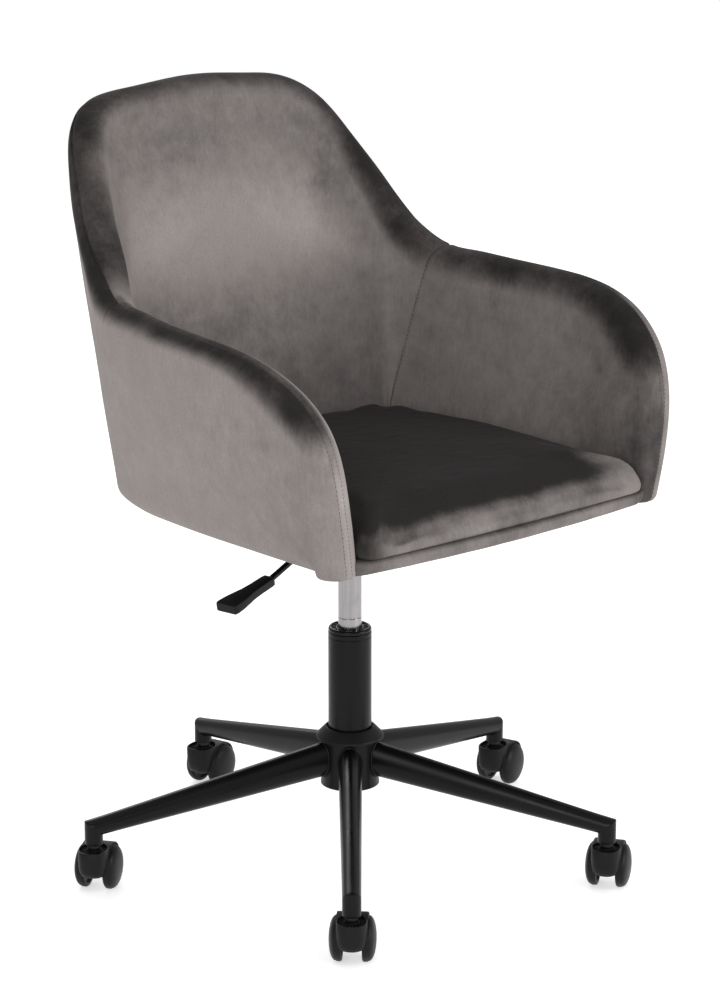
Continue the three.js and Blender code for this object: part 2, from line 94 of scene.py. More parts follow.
# Crest of the rim (x, y, z), middle of the foot (x, y), and the headings of the wall's outward
# normal at rim and foot, from the foot of the sitter's left arm to the middle of the back.
HALF_STATIONS = [
    (221, -248, 434, 216.5, -213, 0, 0),
    (235, -251, 519, 217, -210, 0, 0),
    (245, -230, 598, 217.5, -192, 0, 0),
    (257, -164, 646, 218, -148, 0, 0),
    (260, -71, 661, 218, -60, 1, 2),
    (251, 25, 665, 214, 38, 4, 7),
    (245, 62, 667, 207.5, 88, 6, 16),
    (237, 98, 670, 193.5, 133, 10, 37),
    (219, 140, 701, 185.5, 142, 22, 47),
    (207, 181, 749, 176.5, 149, 36, 57),
    (192, 217, 794, 166, 154.5, 50, 67),
    (172, 247, 833, 154, 158.5, 62, 78),
    (142, 268, 855, 138, 160, 76, 90),
    (86, 272, 865, 85, 160, 85, 90),
    (0, 266, 872, 0, 160, 90, 90),
]
SEAM_STATION = 7
SEAM_DEPTH = 5.0                          # how far the cloth turns in at an arm seam


# ---------- small helpers

def smoothstep(low, high, value):
    part = np.clip((np.asarray(value, float) - low) / (high - low), 0, 1)
    return part * part * (3 - 2 * part)


def unit(vectors):
    return vectors / np.linalg.norm(vectors, axis=-1, keepdims=True)


def turn_shape(shape, degrees, origin=(0, 0, 0)):
    """A (points, faces) shape turned about Z, then moved so that its zero lies at origin."""
    points, faces = shape
    a = math.radians(degrees)
    spin = np.array([[math.cos(a), math.sin(a), 0], [-math.sin(a), math.cos(a), 0], [0, 0, 1]])
    return points @ spin + np.array(origin, float), faces


def undulation(points, size, seed):
    """Smooth noise from -1 to 1 at every point, with features about size mm across."""
    shift = Vector((seed * 17.3, seed * 5.1, seed * 9.7))
    values = [noise.noise(Vector(p) / size + shift) for p in points.reshape(-1, 3)]
    return np.array(values).reshape(points.shape[:-1])


def finish_mesh(obj, sharp_angle):
    mesh = obj.data
    editing = bmesh.new()
    editing.from_mesh(mesh)
    bmesh.ops.recalc_face_normals(editing, faces=editing.faces)
    editing.to_mesh(mesh)
    editing.free()
    mesh.polygons.foreach_set("use_smooth", [True] * len(mesh.polygons))
    if sharp_angle is not None:
        mesh.set_sharp_from_angle(angle=math.radians(sharp_angle))
    mesh.update()


def mesh_object(name, points, faces):
    mesh = bpy.data.meshes.new(name)
    mesh.from_pydata(points.tolist(), [], faces)
    obj = bpy.data.objects.new(name, mesh)
    bpy.context.scene.collection.objects.link(obj)
    return obj


def make_piece(name, shape, body, material, stands_for=(), sharp_angle=None):
    """A mesh object riding on a CAD body, from (points, faces) in mm in the chair frame."""
    points, faces = shape
    obj = mesh_object(name, (points + SHIFT) / MM_PER_M, faces)
    obj.data.materials.append(material)
    finish_mesh(obj, sharp_angle)
    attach(obj, body)
    if stands_for:
        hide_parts(*stands_for)
    return obj


def running_length(line):
    """Length along a line of points, from its start to each of them."""
    return np.concatenate([[0], np.cumsum(np.linalg.norm(np.diff(line, axis=0), axis=1))])


def merge(parts):
    """Several (points, faces) as one."""
    points, faces, base = [], [], 0
    for part_points, part_faces in parts:
        points.append(part_points)
        faces += [[index + base for index in face] for face in part_faces]
        base += len(part_points)
    return np.concatenate(points), faces


def loft(rings, closed_ends=True):
    """A skin through rings of equal length; each end is closed by a fan to its middle."""
    rings = np.asarray(rings, float)
    rows, count = rings.shape[:2]
    points = rings.reshape(-1, 3)
    faces = []
    for row in range(rows - 1):
        for col in range(count):
            a = row * count + col
            b = row * count + (col + 1) % count
            faces.append([a, b, b + count, a + count])
    if closed_ends:
        for row in (0, rows - 1):
            middle = len(points)
            points = np.vstack([points, np.mean(rings[row], axis=0)])
            for col in range(count):
                a = row * count + col
                b = row * count + (col + 1) % count
                faces.append([middle, b, a] if row == 0 else [middle, a, b])
    return points, faces


def loft_loop(rings):
    """A skin through rings that ends where it began."""
    points, faces = loft([*rings, rings[0]], closed_ends=False)
    last = len(rings) * len(rings[0])
    return points[:last], [[index % last for index in face] for face in faces]


def circle(count):
    return np.linspace(0, 2 * math.pi, count, endpoint=False)


def corner_arc(start, corner, end, steps):
    """Points of a short arc from start to end that bends towards corner."""
    shares = [step / steps for step in range(steps + 1)]
    return [(1 - t) ** 2 * start + 2 * t * (1 - t) * corner + t * t * end for t in shares]


def soften(profile, radius, closed=False, steps=3):
    """A profile with its corners turned into short arcs."""
    profile = np.array(profile, float)
    count = len(profile)
    out = []
    for index, here in enumerate(profile):
        if index in (0, count - 1) and not closed:
            out.append(here)
            continue
        before = profile[index - 1] - here
        after = profile[(index + 1) % count] - here
        reach = min(radius, 0.45 * np.linalg.norm(before), 0.45 * np.linalg.norm(after))
        start = here + before / np.linalg.norm(before) * reach
        end = here + after / np.linalg.norm(after) * reach
        out += corner_arc(start, here, end, steps)
    return out


def turned(profile, segments, closed=False):
    """A body of revolution about Z from (radius, z); open profiles start and end on the axis."""
    angles = circle(segments)
    rings = [np.stack([radius * np.cos(angles), radius * np.sin(angles), np.full(segments, z)], 1)
             for radius, z in (profile if closed else profile[1:-1])]
    if closed:
        return loft_loop(rings)
    points, faces = loft(rings)
    points[-2] = (0, 0, profile[0][1])
    points[-1] = (0, 0, profile[-1][1])
    return points, faces


def rounded_box(low, high, radius, steps=3):
    """A box with rounded edges, as a loft of rounded rectangles along Z."""
    low, high = np.array(low, float), np.array(high, float)
    rings = []
    arc = np.linspace(0, math.pi / 2, steps + 1)
    levels = [(radius - radius * math.cos(a), low[2] + radius - radius * math.sin(a)) for a in arc[::-1]]
    levels += [(radius - radius * math.cos(a), high[2] - radius + radius * math.sin(a)) for a in arc]
    for inset, z in levels:
        ring = []
        for corner, (cx, cy) in enumerate([(1, 1), (0, 1), (0, 0), (1, 0)]):
            x = high[0] - radius if cx else low[0] + radius
            y = high[1] - radius if cy else low[1] + radius
            for a in arc:
                angle = a + corner * math.pi / 2
                reach = radius - inset
                ring.append((x + reach * math.cos(angle), y + reach * math.sin(angle), z))
        rings.append(ring)
    return loft(rings)


def capsule(start, end, radius, sides):
    """A short rounded rod between two points."""
    along = unit(end - start)
    side = unit(np.cross(along, [0.31, 0.17, 0.93]))
    up = np.cross(along, side)
    spokes = [math.cos(a) * side + math.sin(a) * up for a in circle(sides)]
    places = ((start, 0.5), (start + along * radius, 1), (end - along * radius, 1), (end, 0.5))
    return loft([[centre + radius * scale * spoke for spoke in spokes] for centre, scale in places])


def tube_along(path, radius, sides=8):
    """A thin closed tube that follows a closed path."""
    path = np.asarray(path, float)
    ahead = unit(np.roll(path, -1, 0) - np.roll(path, 1, 0))
    side = unit(np.cross(ahead, [0.02, 0.03, 1.0]))
    up = np.cross(ahead, side)
    angles = circle(sides)[None, :, None]
    return loft_loop(path[:, None] + radius * (np.cos(angles) * side[:, None] + np.sin(angles) * up[:, None]))


# ---------- materials

class Nodes:
    """A short way to write a node tree."""

    def __init__(self, name):
        self.material = bpy.data.materials.new(name)
        self.material.use_nodes = True
        self.tree = self.material.node_tree
        self.shader = self.tree.nodes["Principled BSDF"]
        self.place = self.tree.nodes.new("ShaderNodeTexCoord").outputs["Object"]

    def add(self, kind, values=None, links=None, **settings):
        node = self.tree.nodes.new(kind)
        for key, value in settings.items():
            setattr(node, key, value)
        for key, value in (values or {}).items():
            node.inputs[key].default_value = value
        for key, source in (links or {}).items():
            self.tree.links.new(source, node.inputs[key])
        return node

    def noise(self, scale, detail=4, roughness=0.55, stretch=(1, 1, 1)):
        place = self.add("ShaderNodeMapping", {"Scale": stretch}, {"Vector": self.place}).outputs[0]
        values = {"Scale": scale, "Detail": detail, "Roughness": roughness}
        return self.add("ShaderNodeTexNoise", values, {"Vector": place}).outputs["Fac"]

    def math(self, operation, first, second):
        node = self.add("ShaderNodeMath", operation=operation)
        for socket, value in zip(node.inputs, (first, second)):
            if isinstance(value, (int, float)):
                socket.default_value = value
            else:
                self.tree.links.new(value, socket)
        return node.outputs[0]

    def ramp(self, source, low, high, to_low=0.0, to_high=1.0):
        values = {"From Min": low, "From Max": high, "To Min": to_low, "To Max": to_high}
        node = self.add("ShaderNodeMapRange", values, {"Value": source}, interpolation_type="SMOOTHSTEP")
        return node.outputs[0]

    def mix(self, amount, first, second):
        node = self.add("ShaderNodeMix", data_type="RGBA")
        sockets = (node.inputs[0], node.inputs[6], node.inputs[7])
        for socket, value in zip(sockets, (amount, first, second)):
            if isinstance(value, (int, float)):
                socket.default_value = value
            elif isinstance(value, tuple):
                socket.default_value = (*value, 1.0)
            else:
                self.tree.links.new(value, socket)
        return node.outputs[2]

    def bump(self, height, strength, distance, normal=None):
        links = {"Height": height}
        if normal is not None:
            links["Normal"] = normal
        return self.add("ShaderNodeBump", {"Strength": strength, "Distance": distance}, links).outputs[0]

    def set(self, values=None, links=None):
        for key, value in (values or {}).items():
            self.shader.inputs[key].default_value = value
        for key, source in (links or {}).items():
            self.tree.links.new(source, self.shader.inputs[key])
        return self.material


def velvet():
    """Short pile, light or dark by a per-point attribute: dark where the pile is brushed, and painted shade
    with lighter strips of painted sheen laid on the shell and cushion.
    """
    n = Nodes("velvet")
    nap_and_shade = n.add("ShaderNodeAttribute", attribute_name="nap_and_shade").outputs["Fac"]
    patches = n.noise(9, 3, 0.55)
    edge = n.noise(48, 4, 0.65)
    streaks = n.noise(36, 3, 0.6, stretch=(10, 10, 0.6))
    grain = n.noise(650, 2, 0.7)
    fringe = n.noise(60, 2, 0.6, stretch=(5, 5, 0.8))

    def centred(source, amount):
        return n.math("MULTIPLY", n.math("SUBTRACT", source, 0.5), amount)

    wander = n.math("ADD", centred(patches, 0.6), centred(edge, 0.3))
    wander = n.math("ADD", wander, centred(fringe, 0.12))
    brushed_and_shaded = n.ramp(n.math("ADD", nap_and_shade, wander), 0.05, 1.0)
    light = n.mix(n.ramp(patches, 0.3, 0.7), (0.270, 0.241, 0.230), (0.345, 0.311, 0.299))
    light = n.mix(n.math("MULTIPLY", n.ramp(streaks, 0.35, 0.75), 0.2), light, (0.20, 0.176, 0.168))
    # The dark tone marks brushed pile and painted shade, as the per-point attribute says.
    colour = n.mix(brushed_and_shaded, light, (0.0150, 0.0133, 0.0130))
    colour = n.mix(n.ramp(grain, 0.3, 0.7, 0.0, 0.18), colour, (0.05, 0.044, 0.042))
    fine = n.bump(grain, 0.3, 0.0006)
    soft = n.bump(n.noise(30, 3, 0.5), 0.2, 0.002, fine)
    return n.set(
        {"Roughness": 0.95, "Specular IOR Level": 0.1, "Sheen Weight": 0.045, "Sheen Roughness": 0.35,
         "Sheen Tint": (0.80, 0.76, 0.74, 1)},
        {"Base Color": colour, "Normal": soft})


def thread():
    n = Nodes("thread")
    twist = n.noise(1500, 2, 0.5)
    colour = n.mix(twist, (0.010, 0.009, 0.009), (0.035, 0.031, 0.030))
    return n.set({"Roughness": 0.8}, {"Base Color": colour, "Normal": n.bump(twist, 0.4, 0.0003)})


def black_paint():
    """Powder coat with a fine orange peel, a little dust and rubbed patches."""
    n = Nodes("black_paint")
    peel = n.noise(380, 2, 0.5)
    smudge = n.noise(14, 4, 0.6)
    rough = n.ramp(smudge, 0.3, 0.75, 0.24, 0.36)
    dust = n.ramp(n.noise(6, 3, 0.6), 0.45, 0.8, 0.0, 0.5)
    colour = n.mix(dust, (0.0030, 0.0030, 0.0032), (0.0055, 0.0054, 0.0053))
    return n.set({"Specular IOR Level": 0.15},
                 {"Base Color": colour, "Roughness": rough, "Normal": n.bump(peel, 0.05, 0.0004)})


def black_plastic(name, roughness, scuffs):
    """Moulded plastic with a fine spark-eroded texture and pale scuffs."""
    n = Nodes(name)
    texture = n.noise(1300, 2, 0.6)
    wear = n.noise(70, 5, 0.75, stretch=(1, 1, 2.5))
    scuffed = n.ramp(wear, 0.55, 0.8, 0.0, scuffs)
    colour = n.mix(scuffed, (0.0060, 0.0060, 0.0063), (0.024, 0.0235, 0.023))
    rough = n.ramp(n.noise(25, 3), 0.3, 0.7, roughness - 0.06, roughness + 0.08)
    return n.set({"Specular IOR Level": 0.15},
                 {"Base Color": colour, "Roughness": rough, "Normal": n.bump(texture, 0.12, 0.0003)})


def metal(name, colour, roughness, stretch, scale):
    """Bare or plated steel, brushed along the axis that stretch leaves short."""
    n = Nodes(name)
    lines = n.noise(scale, 4, 0.65, stretch=stretch)
    tone = n.mix(n.ramp(lines, 0.3, 0.7), tuple(c * 0.78 for c in colour), colour)
    tone = n.mix(n.ramp(n.noise(30, 4, 0.6), 0.5, 0.8, 0.0, 0.3), tone, tuple(c * 0.6 for c in colour))
    rough = n.ramp(lines, 0.3, 0.7, roughness - 0.06, roughness + 0.08)
    return n.set({"Metallic": 1.0},
                 {"Base Color": tone, "Roughness": rough, "Normal": n.bump(lines, 0.06, 0.0002)})


def plywood():
    n = Nodes("plywood")
    grain = n.noise(22, 6, 0.6, stretch=(0.6, 7, 1))
    plies = n.noise(30, 1, 0.4, stretch=(0.02, 0.02, 22))
    colour = n.mix(grain, (0.50, 0.34, 0.19), (0.33, 0.20, 0.10))
    colour = n.mix(n.ramp(plies, 0.4, 0.6, 0.0, 0.35), colour, (0.22, 0.13, 0.07))
    return n.set({"Roughness": 0.65}, {"Base Color": colour, "Normal": n.bump(grain, 0.2, 0.0004)})


def lining():
    """Black non-woven cloth: short fibres pressed together, with a grid of bonded dots."""
    n = Nodes("lining")
    fibres = n.noise(900, 3, 0.8, stretch=(1, 2.2, 1))
    cells = n.add("ShaderNodeTexVoronoi", {"Scale": 420.0, "Randomness": 0.15}, {"Vector": n.place})
    dots = cells.outputs["Distance"]
    colour = n.mix(fibres, (0.012, 0.012, 0.0125), (0.030, 0.029, 0.029))
    colour = n.mix(n.ramp(dots, 0.1, 0.3, 0.35, 0.0), colour, (0.005, 0.005, 0.005))
    return n.set({"Roughness": 0.95}, {"Base Color": colour, "Normal": n.bump(fibres, 0.3, 0.0003)})


VELVET = velvet()
THREAD = thread()
PAINT = black_paint()
PLASTIC = black_plastic("moulded_plastic", 0.5, 0.25)
NYLON = black_plastic("wheel_nylon", 0.42, 0.7)
BUSH = black_plastic("bush_plastic", 0.2, 0.1)
CHROME = metal("ground_steel", (0.335, 0.325, 0.325), 0.22, (30, 30, 0.6), 18)
ZINC = metal("zinc_steel", (0.50, 0.50, 0.51), 0.38, (1, 1, 1), 90)
DARK_STEEL = metal("dark_steel", (0.055, 0.054, 0.055), 0.42, (1, 1, 1), 90)
PLYWOOD = plywood()
LINING = lining()


# ---------- padded shell: arms and back

def full_stations():
    other = [(-x, y, z, -fx, fy, 180 - a, 180 - b) for x, y, z, fx, fy, a, b in HALF_STATIONS[-2::-1]]
    return np.array(HALF_STATIONS + other, float)


def natural_spline(rows):
    """A smooth curve through rows, by the length of the chords of their first three numbers."""
    step = np.linalg.norm(np.diff(rows[:, :3], axis=0), axis=1)
    knots = np.concatenate([[0], np.cumsum(step)])
    count = len(rows)
    system = np.eye(count)
    load = np.zeros_like(rows)
    for i in range(1, count - 1):
        system[i, i - 1:i + 2] = step[i - 1], 2 * (step[i - 1] + step[i]), step[i]
        load[i] = 6 * ((rows[i + 1] - rows[i]) / step[i] - (rows[i] - rows[i - 1]) / step[i - 1])
    bend = np.linalg.solve(system, load)

    def at(u):
        u = np.asarray(u, float)
        i = np.clip(np.searchsorted(knots, u) - 1, 0, count - 2)
        h = step[i][..., None]
        p = (u - knots[i])[..., None]
        q = h - p
        cubic = (bend[i] * q ** 3 + bend[i + 1] * p ** 3) / (6 * h)
        return cubic + (rows[i] / h - bend[i] * h / 6) * q + (rows[i + 1] / h - bend[i + 1] * h / 6) * p

    return at, knots


rim_at, KNOTS = natural_spline(full_stations())
RIM_LENGTH = KNOTS[-1]
SEAM_U = KNOTS[SEAM_STATION]

# Columns of the wall's cross-section: up the inside, over the rounded rim, down the outside.
INSIDE = np.concatenate([np.linspace(0, 0.9, 25), [0.94, 0.97]])
HALF_RIM = np.array([0.03, 0.07, 0.12, 0.18, 0.26, 0.36, 0.48, 0.62, 0.76, 0.88, 1.0])
RIM = np.concatenate([-HALF_RIM[::-1], [0.0], HALF_RIM])
LOWER_EDGE = np.array([0.885, 0.907, 0.926, 0.942, 0.955, 0.966, 0.976, 0.985, 0.993, 1.0])
OUTSIDE = np.concatenate([[0.03, 0.06], np.linspace(0.1, 0.86, 22), LOWER_EDGE])
UNDER = np.array([0.25, 0.5, 0.75])
ZONE = np.concatenate([np.full(len(c), k) for k, c in enumerate((INSIDE, RIM, OUTSIDE, UNDER))])
VALUE = np.concatenate([INSIDE, RIM, OUTSIDE, UNDER])
SEAM_COLUMN = len(INSIDE) + len(HALF_RIM)


def seam_lean(value):
    """How far the inner arm seam has moved towards the back, for a height share from foot to rim."""
    down = 1 - value
    return 4 + 12 * down + 38 * down ** 4


def hermite(start, start_slope, end, end_slope, t):
    return ((2 * t ** 3 - 3 * t ** 2 + 1) * start + (t ** 3 - 2 * t ** 2 + t) * start_slope
            + (3 * t ** 2 - 2 * t ** 3) * end + (t ** 3 - t ** 2) * end_slope)


def lower_radius(u):
    """Radius of the outer lower edge, which is tighter under the nose of each arm."""
    return LOWER_ROUND * (0.4 + 0.6 * smoothstep(20, 130, np.minimum(u, RIM_LENGTH - u)))


def facing(angle):
    """Level unit vectors that point along headings in radians."""
    return np.stack([np.cos(angle), np.sin(angle), 0 * angle], -1)


def wall_grid(u):
    """Points of the bare wall for rim lengths u, one row per u and one column per VALUE."""
    # The arm seams lean back on the inside of the wall, so every row near them leans too.
    lean = np.where(ZONE == 0, seam_lean(VALUE), np.where(ZONE == 1, 4 * smoothstep(0, -1, VALUE), 0))
    lean = np.where(ZONE == 3, seam_lean(0) * smoothstep(0, 1, VALUE), lean)
    near_left = np.exp(-((u - SEAM_U) / 130) ** 2)
    near_right = np.exp(-((RIM_LENGTH - u - SEAM_U) / 130) ** 2)
    at = u[:, None] + lean[None] * (near_left - near_right)[:, None]
    at = np.clip(at, 0, RIM_LENGTH)
    rows = rim_at(at)
    ahead, behind = np.clip(at + 1, 0, RIM_LENGTH), np.clip(at - 1, 0, RIM_LENGTH)
    tangent = unit(rim_at(ahead)[..., :3] - rim_at(behind)[..., :3])
    upright = np.zeros_like(tangent)
    upright[..., 2] = np.where(at < RIM_LENGTH / 2, 1, -1)
    end = smoothstep(0, 60, np.minimum(at, RIM_LENGTH - at))[..., None]
    tangent = unit(upright * (1 - end) + tangent * end)
    crest = rows[..., :3]
    foot = np.concatenate([rows[..., 3:5], np.full_like(rows[..., :1], FLOOR_OF_SEAT)], -1)
    rim_turn, foot_turn = np.radians(rows[..., 5]), np.radians(rows[..., 6])
    out, foot_out = facing(rim_turn), facing(foot_turn)
    over = unit(np.cross(out, tangent))
    core = crest - WALL_HALF * over

    on_back = smoothstep(40, 230, np.minimum(at, RIM_LENGTH - at) - SEAM_U)
    from_foot = np.minimum(at, RIM_LENGTH - at)
    seam_angle = 83 - 32 * on_back - 30 * np.exp(-((from_foot - 600) / 60) ** 2)
    share = VALUE[None]
    angle = np.radians(np.where(share < 0, seam_angle - (180 - seam_angle) * share, seam_angle * (1 - share)))
    rim = core + WALL_HALF * (np.cos(angle)[..., None] * out + np.sin(angle)[..., None] * over)

    straight = 0.7 * smoothstep(430, 560, from_foot)[..., None]

    def face(side, t):
        top = core + side * WALL_HALF * out
        bottom = foot + side * FOOT_HALF * foot_out
        drop = bottom - top
        length = np.linalg.norm(drop, axis=-1, keepdims=True)
        start_slope = drop * straight - over * length * 0.85 * (1 - straight)
        return hermite(top, start_slope, bottom, drop, t[..., None])

    t_inside = np.broadcast_to(1 - share, at.shape)
    t_outside = np.broadcast_to(share, at.shape)
    flat_start = FOOT_HALF - lower_radius(at)[..., None]
    under = foot + foot_out * (flat_start - (flat_start + FOOT_HALF) * share[..., None])
    zone = np.broadcast_to(ZONE, at.shape)[..., None]
    low = np.where(zone == 2, face(1, t_outside), under)
    grid = np.where(zone == 0, face(-1, t_inside), np.where(zone == 1, rim, low))
    grid[..., 2] = np.maximum(grid[..., 2], FLOOR_OF_SEAT)
    # Heading of the wall's outer side, for rounding its lower edge.
    sideways = np.where(zone == 2, out * (1 - share[..., None]) + foot_out * share[..., None], 0)
    sideways = np.where(zone == 1, np.cos(angle)[..., None] * out + np.sin(angle)[..., None] * over, sideways)
    sideways[..., 2] = 0
    return grid, sideways


def grid_normals(grid):
    along = np.gradient(grid, axis=0)
    across = np.roll(grid, -1, 1) - np.roll(grid, 1, 1)
    normal = np.cross(across, along)
    length = np.linalg.norm(normal, axis=-1, keepdims=True)
    return normal / np.maximum(length, 1e-9)


def round_lower_edge(grid, sideways, radius):
    height = grid[..., 2] - FLOOR_OF_SEAT
    low = np.clip(radius - height, 0, radius * np.ones_like(height))
    inset = radius - np.sqrt(radius ** 2 - low ** 2)
    return grid - sideways * inset[..., None]


def shell_rows(start, end, seam_start, seam_end):
    """Rim lengths between two ends, closer together next to a seam."""
    close = np.array([0, 0.7, 1.6, 3.0, 5.0, 8.0])
    first = close if seam_start else close * 0.8
    last = close if seam_end else close * 0.8
    reach, row_pitch = 8, 4.2
    count = int((end - start - 2 * reach) / row_pitch)
    middle = np.linspace(start + reach + 3, end - reach - 3, count)
    return np.concatenate([start + first, middle, (end - last)[::-1]])


def pad_wall(u, seams):
    """The padded wall over rim lengths u: bulges between seams, grooves on them."""
    grid, sideways = wall_grid(u)
    zone = np.broadcast_to(ZONE, grid.shape[:2])
    share = np.broadcast_to(VALUE, grid.shape[:2])
    from_seam = np.min([np.abs(u - s) for s in seams], axis=0)[:, None]
    from_end = np.minimum(u, RIM_LENGTH - u)[:, None]
    normal = grid_normals(grid)
    rim_arc = np.abs(share) * WALL_HALF * 1.5
    on_rim = zone == 1
    lip = np.where(on_rim, 0.45 * np.exp(-((rim_arc - 4.5) / 2.5) ** 2), 0)
    groove = np.where(on_rim, -1.5 * np.exp(-(rim_arc / 1.5) ** 2), 0)
    panel = smoothstep(0, 45, from_seam) * smoothstep(10, 90, from_end)
    inner_puff = np.where(zone == 0, 5.5 * np.sin(math.pi * np.clip(share, 0, 1)) ** 0.8, 0) * panel
    outer_puff = np.where(zone == 2, 1.5 * np.sin(math.pi * share), 0) * panel
    cross_seam = -1.3 * np.exp(-(from_seam / 1.6) ** 2) + 0.3 * np.exp(-((from_seam - 5) / 3) ** 2)
    cross_seam = np.where(zone == 3, 0, cross_seam)
    waves = 0.9 * undulation(grid, 95, 1) + 0.35 * undulation(grid, 32, 2)
    waves = waves * np.where(on_rim, 0.35, 1.0) * np.where(zone == 3, 0, 1)
    grid = grid + normal * (lip + groove + inner_puff + outer_puff + cross_seam + waves)[..., None]
    grid = round_lower_edge(grid, sideways, lower_radius(u)[:, None])
    grid[..., 2] = np.maximum(grid[..., 2], FLOOR_OF_SEAT)
    return grid


def nap_and_shade_of_wall(grid, u):
    """How dark the velvet is, 0 to 1: brushed pile and painted shade in a soft band along the rim, of varying
    width, painted shade on the inner faces and low on the back, and painted sheen as a lighter strip on the
    left arm's nose.
    """
    step = np.linalg.norm(np.diff(grid, axis=1), axis=-1)
    run = np.concatenate([np.zeros((len(u), 1)), np.cumsum(step, axis=1)], axis=1)
    from_seam = run - run[:, SEAM_COLUMN:SEAM_COLUMN + 1]
    along = np.minimum(u, RIM_LENGTH - u)[:, None]
    crest = grid[:, SEAM_COLUMN]
    left = np.where(crest[:, 0] > 0, 1.0, 0.0)[:, None]
    height = crest[:, 2][:, None]
    on_back = smoothstep(SEAM_U - 20, SEAM_U + 60, along)
    on_arm = 1 - on_back
    top = smoothstep(745, 835, height)
    low_wing = on_back * (1 - smoothstep(700, 800, height))
    near_nose = smoothstep(330, 200, along)
    # Dark band along the rim on the inner side: brushed pile and painted shade where the wall turns over its
    # top.
    solid = 16 + 18 * low_wing + 6 * top + 8 * near_nose
    fade = 64 - 4 * top - 4 * low_wing + 8 * near_nose
    strength = 0.88 - 0.10 * low_wing * (1 - left) - 0.02 * top + 0.1 * near_nose
    inside = strength * smoothstep(solid + fade, solid, -from_seam)
    inside = inside * (1 - 0.8 * (1 - left) * on_arm)
    inside = np.maximum(inside, 0.8 * (1 - left) * on_arm * smoothstep(24, 5, -from_seam))
    # Painted shade over the inner face of the left arm and over the back near the arm seams.
    face_shade = (0.43 + 0.14 * near_nose + 0.14 * smoothstep(160, 60, along)) * left * on_arm
    face_shade = face_shade + (0.42 + 0.1 * top) * on_back * smoothstep(250, 80, -from_seam)
    # Painted shade low on the inside of the back, above the cushion.
    low_back_shade = 0.47 * on_back * smoothstep(735, 615, grid[..., 2])
    inside = np.maximum(inside * smoothstep(70, 190, along), np.maximum(face_shade, low_back_shade))
    # Dark band along the rim on the outer side: brushed pile and painted shade.
    outside = (0.9 + 0.1 * near_nose) * smoothstep(38 + 12 * low_wing + 26 * near_nose, 10, from_seam)
    # Lighter outer nose on the left arm: painted sheen.
    outside = outside * (1 - 0.5 * left * near_nose)
    # The outer face stays a little dark all over, more towards the arm fronts: painted shade.
    outside = np.maximum(outside * smoothstep(85, 200, along), 0.18 + 0.2 * smoothstep(560, 120, along))
    return np.clip(np.where(from_seam < 0, inside, outside), 0, 1)


# Stores the per-point darkness of the velvet, which holds brushed pile and painted shade.
def store_nap_and_shade(obj, values):
    layer = obj.data.attributes.new("nap_and_shade", "FLOAT", "POINT")
    layer.data.foreach_set("value", np.asarray(values, np.float32).ravel())


def shell_piece(name, node, start, end, seams):
    u = shell_rows(start, end, start in seams, end in seams)
    grid = pad_wall(u, seams)
    normal = grid_normals(grid)
    nap_and_shade = nap_and_shade_of_wall(grid, u)
    rings, shades = list(grid), list(nap_and_shade)
    # The cloth turns in at a seam, so that its cut edge is hidden.
    if start in seams:
        rings.insert(0, grid[0] - normal[0] * SEAM_DEPTH)
        shades.insert(0, nap_and_shade[0])
    if end in seams:
        rings.append(grid[-1] - normal[-1] * SEAM_DEPTH)
        shades.append(nap_and_shade[-1])
    obj = make_piece(name, loft(rings), "seat", VELVET, [node])
    middles_of_ends = [0.0, 0.0]
    store_nap_and_shade(obj, np.concatenate([*shades, middles_of_ends]))
    return grid, normal, np.minimum(u, RIM_LENGTH - u)


SEAMS = (SEAM_U, RIM_LENGTH - SEAM_U)
left_arm = shell_piece("arm_left_pad", "arm_left", 0.0, SEAMS[0], SEAMS)
back = shell_piece("back_pad", "back_rest", *SEAMS, SEAMS)
right_arm = shell_piece("arm_right_pad", "arm_right", SEAMS[1], RIM_LENGTH, SEAMS)


# ---------- stitches

def stitches(line, normals, pitch, length, radius, sink):
    """A row of thread stitches along a line that lies on the cloth."""
    run = running_length(line)
    parts = []

    def interpolated(rows, at):
        return np.array([np.interp(at, run, rows[:, k]) for k in range(3)])

    for at in np.arange(pitch, run[-1] - pitch, pitch):
        lift = unit(interpolated(normals, at)) * -sink
        start, end = interpolated(line, at - length / 2), interpolated(line, at + length / 2)
        parts.append(capsule(start + lift, end + lift, radius, sides=5))
    return parts


rim_line, rim_normals = (np.concatenate([pad[k][:, SEAM_COLUMN] for pad in (left_arm, back, right_arm)])
                         for k in (0, 1))
rim_stitches = stitches(rim_line, rim_normals, 4.6, 3.0, 0.45, 0.1)
# A second row runs beside the seam up the front of each arm, on its inner side.
TOPSTITCH_COLUMN = SEAM_COLUMN - 4
TOPSTITCH_REACH = 165                     # mm along the rim, from its foot
for grid, normal, from_foot in (left_arm, right_arm):
    front = from_foot < TOPSTITCH_REACH
    line, normals = grid[front, TOPSTITCH_COLUMN], normal[front, TOPSTITCH_COLUMN]
    rim_stitches += stitches(line, normals, 4.2, 2.6, 0.4, 0.15)
make_piece("rim_stitches", merge(rim_stitches), "seat", THREAD)

arm_seam = []
for row in (0, -1):
    line, normals = back[0][row, :SEAM_COLUMN - 1], back[1][row, :SEAM_COLUMN - 1]
    above_cushion = line[:, 2] > CUSHION_TOP - 14
    arm_seam += stitches(line[above_cushion], normals[above_cushion], 5.0, 2.6, 0.45, 0.2)
make_piece("arm_seam_stitches", merge(arm_seam), "seat", THREAD)


# ---------- seat cushion

CLOTH_FRAMES = 20                         # frames for which the cushion swells


def rounded_outline(corners, arc_steps=8):
    """A closed outline from corners of x, y and corner radius."""
    count = len(corners)
    points = []
    for index, (x, y, radius) in enumerate(corners):
        here = np.array([x, y], float)
        before = np.array(corners[index - 1][:2], float)
        after = np.array(corners[(index + 1) % count][:2], float)
        start = here + unit(before - here) * radius
        end = here + unit(after - here) * radius
        points += corner_arc(start, here, end, arc_steps)
    return np.array(points)


